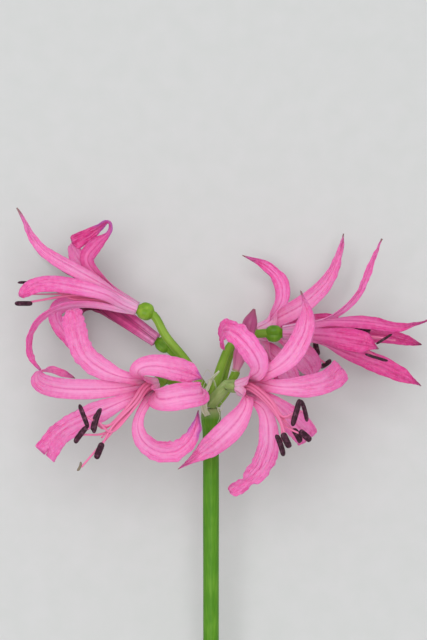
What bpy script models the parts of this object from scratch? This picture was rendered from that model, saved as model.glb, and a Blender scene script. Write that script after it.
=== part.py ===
"""Cut nerine: one stem with six open florets and a bud, lying as it would rest on a table.

Lengths in the tables are millimetres in the umbel's own frame. Its origin is the top of the
scape, +Y runs on along the scape towards the flowers, and +Z faces away from the table.
"""

import math

import bmesh
import bpy
from mathutils import Matrix, Vector

MM = 0.001
UP = Vector((0, 0, 1))

# The scape, the leafless flower stalk. Its profile is (distance down from the top, radius).
SCAPE_LENGTH = 322
SCAPE_PROFILE = ((0, 4.0), (4, 4.0), (14, 3.1), (150, 3.1), (SCAPE_LENGTH, 3.5))
SCAPE_SIDES = 12
SCAPE_LEAN = math.radians(6.6)

# Pedicels stand in a ring on the scape's top, one in its middle.
SEAT_GAP = 0.3
PEDICEL_RING_RADIUS = 2.6
PEDICEL_FOOT_RADIUS = 1.1
PEDICEL_RADIUS = 1.6
PEDICEL_RISE = 1.5
PEDICEL_LEAD = 1.2
PEDICEL_STATIONS = 9

# Sides of the stalks thinner than the scape, and steps read between a curve's rows.
THIN_SIDES = 6
CURVE_STEPS = 16

# A floret's base: ovary, ring of claws, ring of filaments, style.
OVARY_LENGTH = 6.4
OVARY_RADIUS = 3.0
OVARY_LOBE_DEPTH = 0.14
OVARY_NECK = (0.42, 0.8, 1.0, 0.95, 0.6)
CLAW_RING_RADII = (3.1, 2.5)
CLAW_SPREAD = 1.1
CLAW_WIDTH = 2.1
CLAW_END_WIDTH = 3.0
STYLE_RADIUS = 0.4
STYLE_LEAD = 7
STYLE_STATIONS = 9
FILAMENT_RING_RADIUS = 1.45
FILAMENT_THICKNESS = 0.8
FILAMENT_RING_HEIGHT = 0.8
FILAMENT_RING_SEGMENTS = 12
FILAMENT_STATIONS = 8
FILAMENT_SPREADS = (1.2, 1.7)
ANTHER_WIDTH = 1.5
ANTHER_THICKNESS = 1.4
ANTHER_TAPER = (0.85, 0.8)
ANTHER_STANDOFF = 0.5

# Tepals and bracts are thin leaves.
TEPAL_THICKNESS = 0.55
TEPAL_CHANNEL = 0.09
TEPAL_STATIONS = 11
BRACT_THICKNESS = 0.4
BRACT_STATIONS = 7

# Colours (linear red, green, blue), roughness.
FINISHES = {
    "scape": ((0.10, 0.23, 0.035), 0.5),
    "pedicel": ((0.20, 0.32, 0.06), 0.5),
    "pistil": ((0.22, 0.35, 0.05), 0.45),
    "stamens": ((0.25, 0.05, 0.11), 0.6),
    "tepal": ((0.88, 0.24, 0.52), 0.45),
    "bud": ((0.42, 0.08, 0.21), 0.45),
    "spathe": ((0.62, 0.55, 0.45), 0.7),
}

# Each tepal is rows of (x, y, z, width, turn). Turn is how far its inner face is rolled
# about the tepal's run, in degrees: 0 faces +Z, 90 faces the right-hand side of the run.
# "tube" is how far up the claws stay together. "spread" replaces CLAW_SPREAD for one floret.
FLORETS = {
    "left_high": {
        "ring_angle": 210,
        "pedicel": [(-4.5, 10, -3), (-10.4, 19.2, -5), (-18, 28.5, -7), (-21.5, 35, -8)],
        "ovary": (-26.4, 38.4, -8),
        "axis": (-0.94, 0.34, 0),
        "tube": 8,
        "tepals": [
            [(-42, 48.5, -4, 5, -120), (-56, 56.3, -2, 7, -120), (-66, 62, 0, 7.5, -115),
             (-72, 69, -1, 6, -110), (-75, 76, -3, 5, -120), (-78, 80, -4, 2, -130)],
            [(-40, 46, -14, 5, -20), (-50, 55, -19, 8, -30), (-55, 62, -21, 8, -40),
             (-57, 66, -25, 5, -60), (-55, 67, -30, 2, -80)],
            [(-40, 51, -10, 5.5, -60), (-47.5, 58, -12, 7.5, -50), (-45, 65, -13, 6.5, -50),
             (-41, 70, -14, 5, -60), (-42, 74.5, -15, 5, -60), (-49, 71, -16, 6, -20),
             (-56, 66.5, -16, 6, -10)],
            [(-41, 45, 0, 5, -175), (-52, 48.2, 2, 6.5, -170), (-64, 50, 6, 7, -160),
             (-72, 48.5, 8, 6, -150), (-76, 44.5, 7, 2, -140)],
            [(-41, 39.5, -6, 5, 120), (-54, 41, -5, 7.5, 110), (-64, 38.5, -5, 8, 105),
             (-72, 31, -8, 8, 105), (-73, 22, -11, 6, 110), (-68.5, 14, -12, 2, 120)],
            [(-42, 41, -12, 5.5, 60), (-54, 42, -15, 8, 50), (-63, 40, -17, 8, 40),
             (-62, 34, -18, 7, 40), (-58, 29, -17, 7, 30), (-52, 22, -15, 5, 30),
             (-48, 17, -14, 2, 20)],
        ],
        "bundle": [(-45, 44.5, -8), (-56, 45.5, -6)],
        "anthers": [
            ((-78.4, 41.8, 2), (-71.2, 41.8, 4)), ((-77.5, 50.4, -2), (-70, 50, -4)),
            ((-69, 47.5, 1), (-62, 48, -0.5)), ((-67, 50.5, -6), (-60, 50.5, -8)),
            ((-66, 46.5, -5), (-59, 46.5, -7)), ((-67, 48, -11), (-60, 48, -12.5)),
        ],
        "stigma": (-75, 45.5, -2),
    },
    "left_back": {
        "ring_angle": 270,
        "pedicel": [(-3, 8, -9), (-9, 16, -18)],
        "ovary": (-19.4, 25, -24),
        "axis": (-0.82, 0.56, -0.12),
        "tube": 24,
        "spread": 0.3,
        "tepals": [
            [(-44.2, 47, -28.7, 4, -90), (-54, 53, -30, 5, -70), (-63, 58, -37, 5, -60),
             (-69, 63, -42, 4, -60), (-72, 67, -43.5, 2, -60)],
            [(-48, 40.4, -30.9, 3.2, 0), (-56.5, 46.5, -40, 5, 10), (-66, 50.5, -45.1, 5, 10),
             (-73, 49.5, -46.2, 2, 10)],
            [(-47.8, 42.2, -24, 4, 100), (-57, 41, -29.5, 5, 60), (-63.5, 38.5, -34, 5, 40),
             (-63.5, 31, -36, 5, 30), (-59, 25, -37, 2, 30)],
            [(-49, 40.2, -27.3, 4, 60), (-54.5, 37.5, -36, 5, 40), (-56, 32, -41, 6, 30),
             (-53, 26, -42.3, 5, 30), (-49.5, 20, -42.4, 2, 30)],
            [(-45.2, 45.7, -32.1, 2.6, -60), (-50, 54, -36, 5, -50), (-54, 60.5, -40, 5, -50),
             (-55, 65.5, -43, 2, -50)],
            [(-45.4, 46.1, -24.8, 4, 180), (-55, 46, -24.5, 5, 170), (-63, 48, -26, 4, 160),
             (-68, 48.5, -28, 2, 150)],
        ],
        "bundle": [(-48, 44.5, -29), (-54, 46.5, -30)],
        "anthers": [
            ((-66, 48.8, -31), (-60, 48.5, -30)), ((-63, 47.5, -37), (-57, 46.5, -36)),
            ((-61, 51.5, -32.5), (-56, 49.5, -33)), ((-70, 50, -36), (-64.5, 49, -38)),
            ((-61, 52.5, -37), (-56, 51, -36.5)), ((-58, 45.5, -35.5), (-53, 44.5, -34.5)),
        ],
        "stigma": (-60, 48, -33),
    },
    "left_front": {
        "ring_angle": 150,
        "pedicel": [(-6, 7, 4), (-12, 11, 8)],
        "ovary": (-20, 10.8, 16),
        "axis": (-0.6, -0.26, 0.75),
        "tube": 5,
        "tepals": [
            [(-34, 12.5, 26.5, 5, 20), (-42, 15.4, 25, 8.5, 10), (-50, 21.5, 20, 9, 0),
             (-53.5, 31, 14, 9, -10), (-55.5, 39.5, 9, 6.5, -10)],
            [(-36, 8.3, 25.5, 5.5, 0), (-46, 8, 25, 8, 0), (-57, 8, 21, 8, 0),
             (-65.5, 9.3, 14, 8, 0), (-69.8, 12.5, 7, 7, -45), (-67.5, 16.2, 2, 6, -90),
             (-61, 14.7, -1, 5, -170), (-54.6, 12.6, -1.5, 2, -180)],
            [(-34, 3.6, 28.5, 5, 0), (-44, -1, 26, 9, 10), (-54, -6, 21, 9, 10),
             (-61, -11, 15, 9, 15), (-65.6, -18, 10, 8.5, 20)],
            [(-30, 14, 30.5, 6, -50), (-28.5, 16.6, 32, 8, -35), (-21.5, 17.3, 33, 9, -18),
             (-14, 15.6, 31, 9, -12), (-8, 13.6, 28, 7, -12), (-3.5, 11.6, 25, 2, -12)],
            [(-21, 4.3, 30, 8, 10), (-13, 4.4, 32, 10, 0), (-7, 5, 31, 10.5, 0),
             (-3.4, 5.6, 27.5, 10, 15), (-3.2, 7.5, 23, 6, 60), (-4.6, 9.5, 19.5, 2, 90)],
            [(-26.5, 1, 29, 3.5, 0), (-29, -6, 31, 4.5, 0), (-26.6, -12.8, 29, 7, 0),
             (-19, -17.2, 25, 8.5, 0), (-10.8, -15, 22, 7.5, 0), (-6.2, -8, 21, 4.5, 0),
             (-5, -0.4, 20, 1.5, 0)],
        ],
        "bundle": [(-30.5, 2, 34), (-39.5, -7.5, 40)],
        "anthers": [
            ((-52.4, 1.6, 40), (-48.8, -8, 42)), ((-49.6, -6.8, 45), (-54.4, -13.2, 43)),
            ((-44.4, 0.4, 44), (-47.2, -9.6, 46)), ((-43.2, -13.6, 42), (-46, -20, 40)),
            ((-51.5, -21, 37), (-53, -24.5, 36)), ((-44.6, -1, 38.5), (-46.4, -8, 37.5)),
        ],
        "stigma": (-42.5, -10.5, 42.5),
    },
    "right_front": {
        "ring_angle": 90,
        "pedicel": [(2.2, 4.5, 6.6)],
        "ovary": (8.5, 9, 14),
        "axis": (0.75, -0.05, 0.66),
        "tube": 6,
        "tepals": [
            [(18.8, 15, 28, 7, 0), (17.5, 22.5, 33, 9.5, 0), (12.3, 29.8, 33, 9, 0),
             (7, 31.8, 28, 8, 40), (5, 29, 22.5, 7, 120), (5.8, 23.5, 18.5, 3, 170)],
            [(22.5, 14.5, 27, 5.5, 0), (31, 20.8, 29, 8.5, 0), (37, 30, 27, 7.5, -10),
             (39.3, 38.5, 22, 6, -20), (36, 46.5, 17, 2, -20)],
            [(26, 9, 27, 5.5, 0), (36, 9, 26, 8.8, 0), (44.5, 10.5, 22, 9, 0),
             (50, 13.5, 16, 9.5, 0), (52.5, 17, 11, 5, 0)],
            [(24, 3.3, 22.5, 5.5, 0), (31.5, -3.5, 20, 10, 0), (37.5, -9.5, 14, 10, 0),
             (37, -15.5, 9, 4, 0)],
            [(20.8, 0.5, 25, 5.5, 0), (22.8, -8.5, 25, 7.2, 0), (22, -17, 22, 8, -10),
             (18, -25, 17, 7.5, -15), (12.5, -30, 13, 5, -20), (7.5, -33.3, 10, 3.5, -30)],
            [(14.3, 2.5, 25, 5.5, 0), (10, -5, 26, 8.8, 0), (3, -12, 24, 8.8, 0),
             (-4.5, -18, 17, 7, 0), (-13, -24, 11, 2, 0)],
        ],
        "bundle": [(23, 3, 33), (28, -4, 39)],
        "anthers": [
            ((35.6, 3.6, 42), (32.4, -7.2, 44)), ((36.5, 3.6, 38), (38, -5.2, 37)),
            ((33, -8, 39), (36, -14, 37)), ((35, -8.5, 43), (39.8, -12.8, 41)),
            ((26.4, -10.4, 41), (29.2, -18.8, 39)), ((28.5, -8.5, 45), (31, -15.2, 44)),
        ],
        "stigma": (30.5, -6, 42),
    },
    "right_high": {
        "ring_angle": None,
        "pedicel": [(1, 6, -0.5), (4, 16, -2), (8, 25, -4), (14, 28.8, -5)],
        "ovary": (25.2, 30, -6),
        "axis": (1, 0.02, 0),
        "tube": 10,
        "tepals": [
            [(46, 34.8, -3, 5.5, 120), (56, 34.8, 0, 7, 130), (66, 34, 1, 6.5, 140),
             (74, 32.3, 0.5, 5, 150), (81, 33.3, -1, 3.5, 150), (88, 35.5, -2, 2, 150)],
            [(46, 31, -12, 6, 0), (60, 30, -15, 8, 10), (72, 28.8, -17, 6, 20),
             (83.5, 25.6, -20, 2, 20)],
            [(45, 26, -4, 6, -130), (56, 21.5, -1, 6.5, -140), (70, 16, 1, 5.5, -145),
             (84, 9, 0, 2, -145)],
            [(44, 35, -10, 6, 70), (53, 39, -12, 6, 60), (60, 47, -13, 6, 50),
             (65.5, 59.5, -15, 5, 50), (69.2, 68, -16, 2, 50)],
            [(45, 29, 1, 6, 180), (54, 27.5, 7, 7.5, 180), (62, 26, 10, 7, 170),
             (66.5, 23.6, 11, 3, 160)],
            [(46, 27, -12, 6, -60), (56, 23, -20, 8, -50), (66, 19, -32, 7, -40),
             (75, 15, -42, 2, -40)],
        ],
        "bundle": [(42, 30, -5), (54, 29, -4)],
        "anthers": [
            ((66, 25.6, 1), (72.4, 29.6, 1)), ((61.2, 21.6, 9), (70.4, 18.8, 9)),
            ((57, 31.2, -4.5), (64, 31.5, -5.5)), ((57, 25, -6), (64, 24.5, -7)),
            ((57, 30, -9), (64, 30.5, -10)), ((56, 26, -11), (62, 25, -12)),
        ],
        "stigma": (74, 27, -5),
    },
    "right_back": {
        "ring_angle": 330,
        "pedicel": [(4, 9, -5), (7, 20, -11)],
        "ovary": (14, 30, -16),
        "axis": (0.85, -0.05, -0.5),
        "tube": 5,
        "tepals": [
            [(27, 36, -21, 6, 60), (38, 42, -23, 7, 50), (47, 51.5, -26, 7, 40),
             (51.5, 63, -31, 6, 30), (53.2, 70.5, -35, 2, 30)],
            [(25, 37, -25, 4.5, 20), (29, 43.5, -30, 5.5, 0), (28, 51, -30, 6, 0),
             (22, 57.8, -29, 6, 0), (12.8, 61.6, -30, 2, 0)],
            [(23.5, 22.5, -20, 5.5, -60), (28.5, 17.5, -21, 7, -20), (32.5, 11.5, -26, 5, 0),
             (35, 7, -30, 2, 0)],
            [(28, 26.5, -19.5, 5.5, -90), (35, 21, -25, 8, -40), (39.5, 15.5, -32, 7, -10),
             (41, 10, -37, 3, 0)],
            [(27, 32.5, -31, 5, 0), (38, 33.5, -38, 7, 0), (49, 34.5, -42.4, 7, 0),
             (58, 33.5, -44.3, 2, 0)],
            [(21, 24, -27, 5.5, 0), (25.5, 16.5, -35, 7, 0), (30.5, 12, -40.3, 6.5, 0),
             (37, 10, -41.2, 5, 0), (43.5, 9.5, -41.3, 2, 0)],
        ],
        "bundle": [(27, 28.5, -27), (34, 26, -34)],
        "anthers": [
            ((42.6, 26.2, -37), (43.8, 20.6, -37)), ((44.6, 15.4, -38), (49.4, 18.6, -39)),
            ((33.2, 15.2, -36), (35.2, 11.2, -38)), ((39, 27.5, -34.5), (43, 28.5, -35)),
            ((38, 21, -39), (41, 17, -40)), ((35, 27, -39), (40, 29, -40)),
        ],
        "stigma": (37, 25, -36),
    },
}

BUD_RING_ANGLE = 30
BUD_PEDICEL = [(6.2, 7, 2.8), (9.2, 12.6, 5)]
BUD_TIP = (17.2, 39.6, 8)
BUD_RADIUS = 2.5
BUD_LEAD = 2
BUD_PROFILE = (0.5, 0.85, 1.0, 1.0, 0.95, 0.7, 0.2)

# Two withered bracts of the spathe, one standing in front and one hanging behind.
SPATHES = {
    "spathe_front": [(-1.6, -3, 4.3, 2.5, 0), (-2.6, 1, 5.4, 3, -20), (-1.8, 7, 8, 2.4, -40),
                     (0.6, 12, 9.5, 1.6, 0), (3.2, 15, 10, 1, 60)],
    "spathe_back": [(1.2, 1, -4.7, 3, 180), (1, -5, -5.2, 4, 180), (0.5, -12, -5.6, 3, 180),
                    (0, -18, -6.4, 1.2, 180)],
}


def clear_scene():
    for item in list(bpy.data.objects):
        bpy.data.objects.remove(item, do_unlink=True)


def make_finishes():
    """Makes one plain material for each kind of sub-part."""
    finishes = {}
    for name, (colour, roughness) in FINISHES.items():
        material = bpy.data.materials.new(name)
        material.use_nodes = True
        shader = material.node_tree.nodes["Principled BSDF"]
        shader.inputs["Base Color"].default_value = (*colour, 1)
        shader.inputs["Roughness"].default_value = roughness
        shader.inputs["Metallic"].default_value = 0
        finishes[name] = material
    return finishes


def finish_object(name, bm, material, parent):
    """Turns a mesh in millimetres into a named object in metres."""
    bmesh.ops.scale(bm, vec=(MM, MM, MM), verts=bm.verts)
    bmesh.ops.recalc_face_normals(bm, faces=bm.faces)
    mesh = bpy.data.meshes.new(name)
    bm.to_mesh(mesh)
    bm.free()
    mesh.materials.append(material)
    item = bpy.data.objects.new(name, mesh)
    bpy.context.scene.collection.objects.link(item)
    item.parent = parent
    return item


def smooth_rows(rows, count):
    """Reads rows of numbers off a Catmull-Rom curve through them, evenly along its run.

    The first three numbers of a row are its place.
    """
    ends = [[2 * a - b for a, b in zip(rows[0], rows[1])]]
    tail = [[2 * a - b for a, b in zip(rows[-1], rows[-2])]]
    knots = ends + [list(row) for row in rows] + tail
    steps = CURVE_STEPS
    fine = []
    for i in range(1, len(knots) - 2):
        a, b, c, d = knots[i - 1:i + 3]
        for k in range(steps + (i == len(knots) - 3)):
            t = k / steps
            fine.append([
                0.5 * (2 * q + (r - p) * t + (2 * p - 5 * q + 4 * r - s) * t * t
                       + (3 * q - p - 3 * r + s) * t ** 3)
                for p, q, r, s in zip(a, b, c, d)
            ])
    run = [0.0]
    for a, b in zip(fine, fine[1:]):
        run.append(run[-1] + (Vector(b[:3]) - Vector(a[:3])).length)
    picked = []
    j = 0
    for k in range(count):
        want = run[-1] * k / (count - 1)
        while j < len(run) - 2 and run[j + 1] < want:
            j += 1
        t = (want - run[j]) / (run[j + 1] - run[j])
        picked.append([a + (b - a) * t for a, b in zip(fine[j], fine[j + 1])])
    return picked


def run_tangents(points):
    last = len(points) - 1
    return [(points[min(i + 1, last)] - points[max(i - 1, 0)]).normalized()
            for i in range(last + 1)]


def frames_along(points, first_axis=None, last_axis=None):
    """Frames that don't twist along a run: each has its Z along the run."""
    tangents = run_tangents(points)
    if first_axis is not None:
        tangents[0] = first_axis
    if last_axis is not None:
        tangents[-1] = last_axis
    turn = UP.rotation_difference(tangents[0])
    frames = []
    for i, (point, tangent) in enumerate(zip(points, tangents)):
        if i:
            turn = tangents[i - 1].rotation_difference(tangent) @ turn
        frames.append(Matrix.Translation(point) @ turn.to_matrix().to_4x4())
    return frames


def start_disc(bm, frame, radius, sides, lobe_depth=0.0):
    """Makes the flat end that a stalk is drawn out from."""
    made = bmesh.ops.create_circle(bm, cap_ends=True, radius=radius, segments=sides)
    for i, vert in enumerate(made["verts"]):
        vert.co *= 1 - lobe_depth * (i % 2)
    bmesh.ops.transform(bm, matrix=frame, verts=made["verts"])
    return made["verts"][0].link_faces[0]


def draw_out(bm, face, old_frame, new_frame, scale):
    """Extrudes a face and carries its new end from one frame to the next."""
    face = bmesh.ops.extrude_discrete_faces(bm, faces=[face])["faces"][0]
    move = new_frame @ Matrix.Diagonal((*scale, 1)) @ old_frame.inverted()
    bmesh.ops.transform(bm, matrix=move, verts=face.verts)
    return face


def draw_stalk(bm, face, frames, radii):
    for i in range(1, len(frames)):
        ratio = radii[i] / radii[i - 1]
        face = draw_out(bm, face, frames[i - 1], frames[i], (ratio, ratio, 1))
    return face


def stalk_mesh(points, radii, sides, first_axis=None, last_axis=None, lobe_depth=0.0):
    """Makes a closed stalk through points, flat at both ends."""
    bm = bmesh.new()
    frames = frames_along(points, first_axis, last_axis)
    start = start_disc(bm, frames[0], radii[0], sides, lobe_depth)
    start.copy(verts=False, edges=False)
    draw_stalk(bm, start, frames, radii)
    return bm


def leaf_mesh(rows, base_normals, stations):
    """Bends a strip three points wide along rows of (x, y, z, width, turn).

    base_normals gives the facing of the first rows; turn gives it for the others.
    """
    places = [Vector(row[:3]) for row in rows]
    tangents = run_tangents(places)
    guides = []
    for i, (row, tangent) in enumerate(zip(rows, tangents)):
        if i < len(base_normals):
            facing = base_normals[i]
        else:
            toward_up = (UP - tangent * UP.dot(tangent)).normalized()
            facing = Matrix.Rotation(math.radians(row[4]), 3, tangent) @ toward_up
        guides.append([*row[:4], *facing])
    picked = smooth_rows(guides, stations)
    points = [Vector(row[:3]) for row in picked]
    tangents = run_tangents(points)
    bm = bmesh.new()
    bmesh.ops.create_grid(bm, x_segments=2, y_segments=stations - 1, size=1)
    for vert in bm.verts:
        station = round((vert.co.y + 1) / 2 * (stations - 1))
        side = round(vert.co.x)
        width = picked[station][3]
        normal = Vector(picked[station][4:7])
        normal = (normal - tangents[station] * normal.dot(tangents[station])).normalized()
        across = normal.cross(tangents[station])
        vert.co = (points[station] + across * side * width / 2
                   + normal * abs(side) * width * TEPAL_CHANNEL)
    return bm


def add_leaf(name, rows, base_normals, stations, thickness, material, parent):
    leaf = finish_object(name, leaf_mesh(rows, base_normals, stations), material, parent)
    solidify = leaf.modifiers.new("thickness", "SOLIDIFY")
    solidify.thickness = thickness * MM
    solidify.offset = 0
    return leaf


def ring_point(radius, angle):
    """A place round the scape's axis: 0 is +X, 90 is +Z."""
    turned = math.radians(angle)
    return Vector((radius * math.cos(turned), SEAT_GAP, radius * math.sin(turned)))


def add_pedicel(name, ring_angle, route, end, end_axis, material, parent):
    """Makes a flower's stalk, from its foot on the scape to just under its ovary."""
    foot = ring_point(PEDICEL_RING_RADIUS if ring_angle is not None else 0, ring_angle or 0)
    lead = end - end_axis * PEDICEL_LEAD
    rows = [foot, foot + Vector((0, PEDICEL_RISE, 0))] + [Vector(p) for p in route] + [lead, end]
    points = [Vector(row) for row in smooth_rows(rows, PEDICEL_STATIONS)]
    radii = [PEDICEL_RADIUS] * PEDICEL_STATIONS
    radii[0] = PEDICEL_FOOT_RADIUS
    radii[1] = (PEDICEL_FOOT_RADIUS + PEDICEL_RADIUS) / 2
    radii[-1] = OVARY_RADIUS * OVARY_NECK[0]
    bm = stalk_mesh(points, radii, THIN_SIDES, Vector((0, 1, 0)), end_axis)
    return finish_object(name, bm, material, parent)


def floret_frame(axis):
    """Two directions square to a floret's axis."""
    first = axis.cross(Vector((0, 1, 0)) if abs(axis.y) < 0.9 else UP).normalized()
    return first, axis.cross(first)


def claw_angles(places, base, axis):
    """Shares six even places round the axis among the tepals, in the order they spread."""
    first, second = floret_frame(axis)
    aims = []
    for place in places:
        away = place - base
        aims.append(math.atan2(away.dot(second), away.dot(first)))
    order = sorted(range(len(aims)), key=lambda i: aims[i])
    step = math.tau / len(aims)
    offsets = [aims[i] - step * k for k, i in enumerate(order)]
    phase = math.atan2(sum(map(math.sin, offsets)), sum(map(math.cos, offsets)))
    angles = [0.0] * len(aims)
    for k, i in enumerate(order):
        angles[i] = phase + step * k
    return angles, order


def radial(axis, angle):
    first, second = floret_frame(axis)
    return first * math.cos(angle) + second * math.sin(angle)


def add_tepals(prefix, floret, base, axis, material, parent):
    """Makes the six tepals, alternating an outer and an inner whorl at their claws."""
    places = [Vector(rows[1][:3]) for rows in floret["tepals"]]
    angles, order = claw_angles(places, base, axis)
    tube = floret["tube"]
    spread = floret.get("spread", CLAW_SPREAD)
    for i, rows in enumerate(floret["tepals"]):
        outward = radial(axis, angles[i])
        ring = CLAW_RING_RADII[order.index(i) % 2]
        foot = base + axis * SEAT_GAP + outward * ring
        middle = base + axis * tube / 2 + outward * (ring + spread / 2)
        throat = base + axis * tube + outward * (ring + spread)
        claw = [(*foot, CLAW_WIDTH, 0), (*middle, (CLAW_WIDTH + CLAW_END_WIDTH) / 2, 0),
                (*throat, CLAW_END_WIDTH, 0)]
        add_leaf(f"{prefix}_tepal_{i + 1}", claw + rows, [-outward] * 3, TEPAL_STATIONS,
                 TEPAL_THICKNESS, material, parent)


def add_pistil(prefix, floret, centre, axis, material, parent):
    """Makes the ovary and style as one lobed body."""
    bottom = centre - axis * OVARY_LENGTH / 2
    steps = len(OVARY_NECK)
    points = [bottom + axis * OVARY_LENGTH * i / (steps - 1) for i in range(steps)]
    radii = [OVARY_RADIUS * share for share in OVARY_NECK]
    top = points[-1]
    route = [top + axis * SEAT_GAP, top + axis * max(floret["tube"], STYLE_LEAD)]
    route += [Vector(p) for p in floret["bundle"]] + [Vector(floret["stigma"])]
    style = [Vector(row) for row in smooth_rows(route, STYLE_STATIONS)]
    points += style
    radii += [STYLE_RADIUS] * len(style)
    bm = stalk_mesh(points, radii, THIN_SIDES, axis, lobe_depth=OVARY_LOBE_DEPTH)
    finish_object(f"{prefix}_pistil", bm, material, parent)
    return top


def anther_frame(ends, approach):
    """A frame at an anther's middle: X along it, Z the way its filament arrives."""
    along = (ends[1] - ends[0]).normalized()
    arrive = (approach - along * approach.dot(along)).normalized()
    rotation = Matrix((along, arrive.cross(along), arrive)).transposed()
    return Matrix.Translation((ends[0] + ends[1]) / 2) @ rotation.to_4x4()


def add_stamens(prefix, floret, base, axis, material, parent):
    """Makes six filaments joined in a ring at their feet, each with its anther across it."""
    bm = bmesh.new()
    first, _ = floret_frame(axis)
    frame = Matrix((first, axis.cross(first), axis)).transposed().to_4x4()
    frame = Matrix.Translation(base + axis * SEAT_GAP) @ frame
    half = FILAMENT_THICKNESS / 2
    loops = []
    for radius, height in ((FILAMENT_RING_RADIUS - half, 0), (FILAMENT_RING_RADIUS + half, 0),
                           (FILAMENT_RING_RADIUS + half, FILAMENT_RING_HEIGHT),
                           (FILAMENT_RING_RADIUS - half, FILAMENT_RING_HEIGHT)):
        loop = bmesh.ops.create_circle(bm, radius=radius,
                                        segments=FILAMENT_RING_SEGMENTS)["verts"]
        bmesh.ops.translate(bm, vec=(0, 0, height), verts=loop)
        loops.append(loop)
    for i in range(4):
        edges = [e for e in bm.edges if all(v in loops[i] for v in e.verts)]
        edges += [e for e in bm.edges if all(v in loops[(i + 1) % 4] for v in e.verts)]
        bmesh.ops.bridge_loops(bm, edges=edges)
    bmesh.ops.recalc_face_normals(bm, faces=bm.faces)
    tops = [f for f in bm.faces
            if all(v.co.z > FILAMENT_RING_HEIGHT - half for v in f.verts)]
    tops.sort(key=lambda f: math.atan2(*f.calc_center_median().yx) % math.tau)
    bmesh.ops.transform(bm, matrix=frame, verts=bm.verts)
    feet = tops[::2]
    anthers = [tuple(Vector(p) for p in pair) for pair in floret["anthers"]]
    angles, order = claw_angles([(a + b) / 2 for a, b in anthers], base, axis)
    slots = foot_slots(feet, angles, base, axis)
    for (one, two), foot in zip(anthers, slots):
        add_stamen(bm, feet[foot], (one, two), floret, base, axis)
    return finish_object(f"{prefix}_stamens", bm, material, parent)


def foot_slots(feet, angles, base, axis):
    """Matches each anther's angle to a filament foot, keeping their order round the ring."""
    first, second = floret_frame(axis)
    around = []
    for face in feet:
        away = face.calc_center_median() - base
        around.append(math.atan2(away.dot(second), away.dot(first)) % math.tau)
    feet_order = sorted(range(len(around)), key=lambda i: around[i])
    anther_order = sorted(range(len(angles)), key=lambda i: angles[i] % math.tau)
    best = None
    for shift in range(len(angles)):
        pairs = [(anther_order[k], feet_order[(k + shift) % len(angles)])
                 for k in range(len(angles))]
        misfit = sum(1 - math.cos(angles[a] - around[f]) for a, f in pairs)
        if best is None or misfit < best[0]:
            best = (misfit, pairs)
    slots = [0] * len(angles)
    for a, f in best[1]:
        slots[a] = f
    return slots


def add_stamen(bm, face, ends, floret, base, axis):
    foot = face.calc_center_median()
    outward = foot - base
    outward = outward - axis * outward.dot(axis)
    start = foot + axis * max(floret["tube"], STYLE_LEAD)
    bundle = [Vector(p) + outward * spread
              for p, spread in zip(floret["bundle"], FILAMENT_SPREADS)]
    middle = (ends[0] + ends[1]) / 2
    approach = (middle - bundle[-1]).normalized()
    seat = anther_frame(ends, approach)
    arrive = seat.col[2].xyz
    end = middle - arrive * (ANTHER_THICKNESS / 2 + ANTHER_STANDOFF)
    points = [Vector(row) for row in smooth_rows([foot, start] + bundle + [end],
                                                FILAMENT_STATIONS)]
    frames = frames_along(points, axis)
    face = draw_stalk(bm, face, frames, [FILAMENT_THICKNESS] * len(frames))
    # The filament's end spreads to the anther's back, then the anther's body is drawn out.
    face = bmesh.ops.extrude_discrete_faces(bm, faces=[face])["faces"][0]
    corners = matching_corners(face, frames[-1].translation, seat,
                               (ends[1] - ends[0]).length / 2, ANTHER_WIDTH / 2)
    for vert, (x, y) in zip(face.verts, corners):
        vert.co = seat @ Vector((x, y, -ANTHER_THICKNESS / 2))
    face = bmesh.ops.extrude_discrete_faces(bm, faces=[face])["faces"][0]
    for vert, (x, y) in zip(face.verts, corners):
        vert.co = seat @ Vector((x * ANTHER_TAPER[0], y * ANTHER_TAPER[1],
                                 ANTHER_THICKNESS / 2))


def matching_corners(face, centre, seat, half_length, half_width):
    """Orders a rectangle's corners so that the walls to it from a small square don't twist."""
    signs = [(1, 1), (-1, 1), (-1, -1), (1, -1)]
    best = None
    for turned in (signs, signs[::-1]):
        for shift in range(4):
            trial = turned[shift:] + turned[:shift]
            match = sum((vert.co - centre).dot(seat.to_3x3() @ Vector((*sign, 0)))
                        for vert, sign in zip(face.verts, trial))
            if best is None or match > best[0]:
                best = (match, trial)
    return [(x * half_length, y * half_width) for x, y in best[1]]


def add_floret(prefix, floret, finishes, parent):
    axis = Vector(floret["axis"]).normalized()
    centre = Vector(floret["ovary"])
    pedicel_end = centre - axis * (OVARY_LENGTH / 2 + SEAT_GAP)
    add_pedicel(f"{prefix}_pedicel", floret["ring_angle"], floret["pedicel"], pedicel_end,
                axis, finishes["pedicel"], parent)
    top = add_pistil(prefix, floret, centre, axis, finishes["pistil"], parent)
    add_tepals(prefix, floret, top, axis, finishes["tepal"], parent)
    add_stamens(prefix, floret, top, axis, finishes["stamens"], parent)


def add_scape(finishes, parent):
    points = [Vector((0, -down, 0)) for down, _ in SCAPE_PROFILE]
    bm = stalk_mesh(points, [radius for _, radius in SCAPE_PROFILE], SCAPE_SIDES)
    return finish_object("scape", bm, finishes["scape"], parent)


def add_bud(finishes, parent):
    tip = Vector(BUD_TIP)
    seat = Vector(BUD_PEDICEL[-1])
    axis = (tip - seat).normalized()
    base = seat + axis * BUD_LEAD
    add_pedicel("bud_pedicel", BUD_RING_ANGLE, BUD_PEDICEL[:-1], base, axis,
                finishes["pedicel"], parent)
    base = base + axis * SEAT_GAP
    steps = len(BUD_PROFILE) - 1
    points = [base.lerp(tip, i / steps) for i in range(steps + 1)]
    bm = stalk_mesh(points, [BUD_RADIUS * share for share in BUD_PROFILE], THIN_SIDES, axis)
    finish_object("bud", bm, finishes["bud"], parent)


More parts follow.
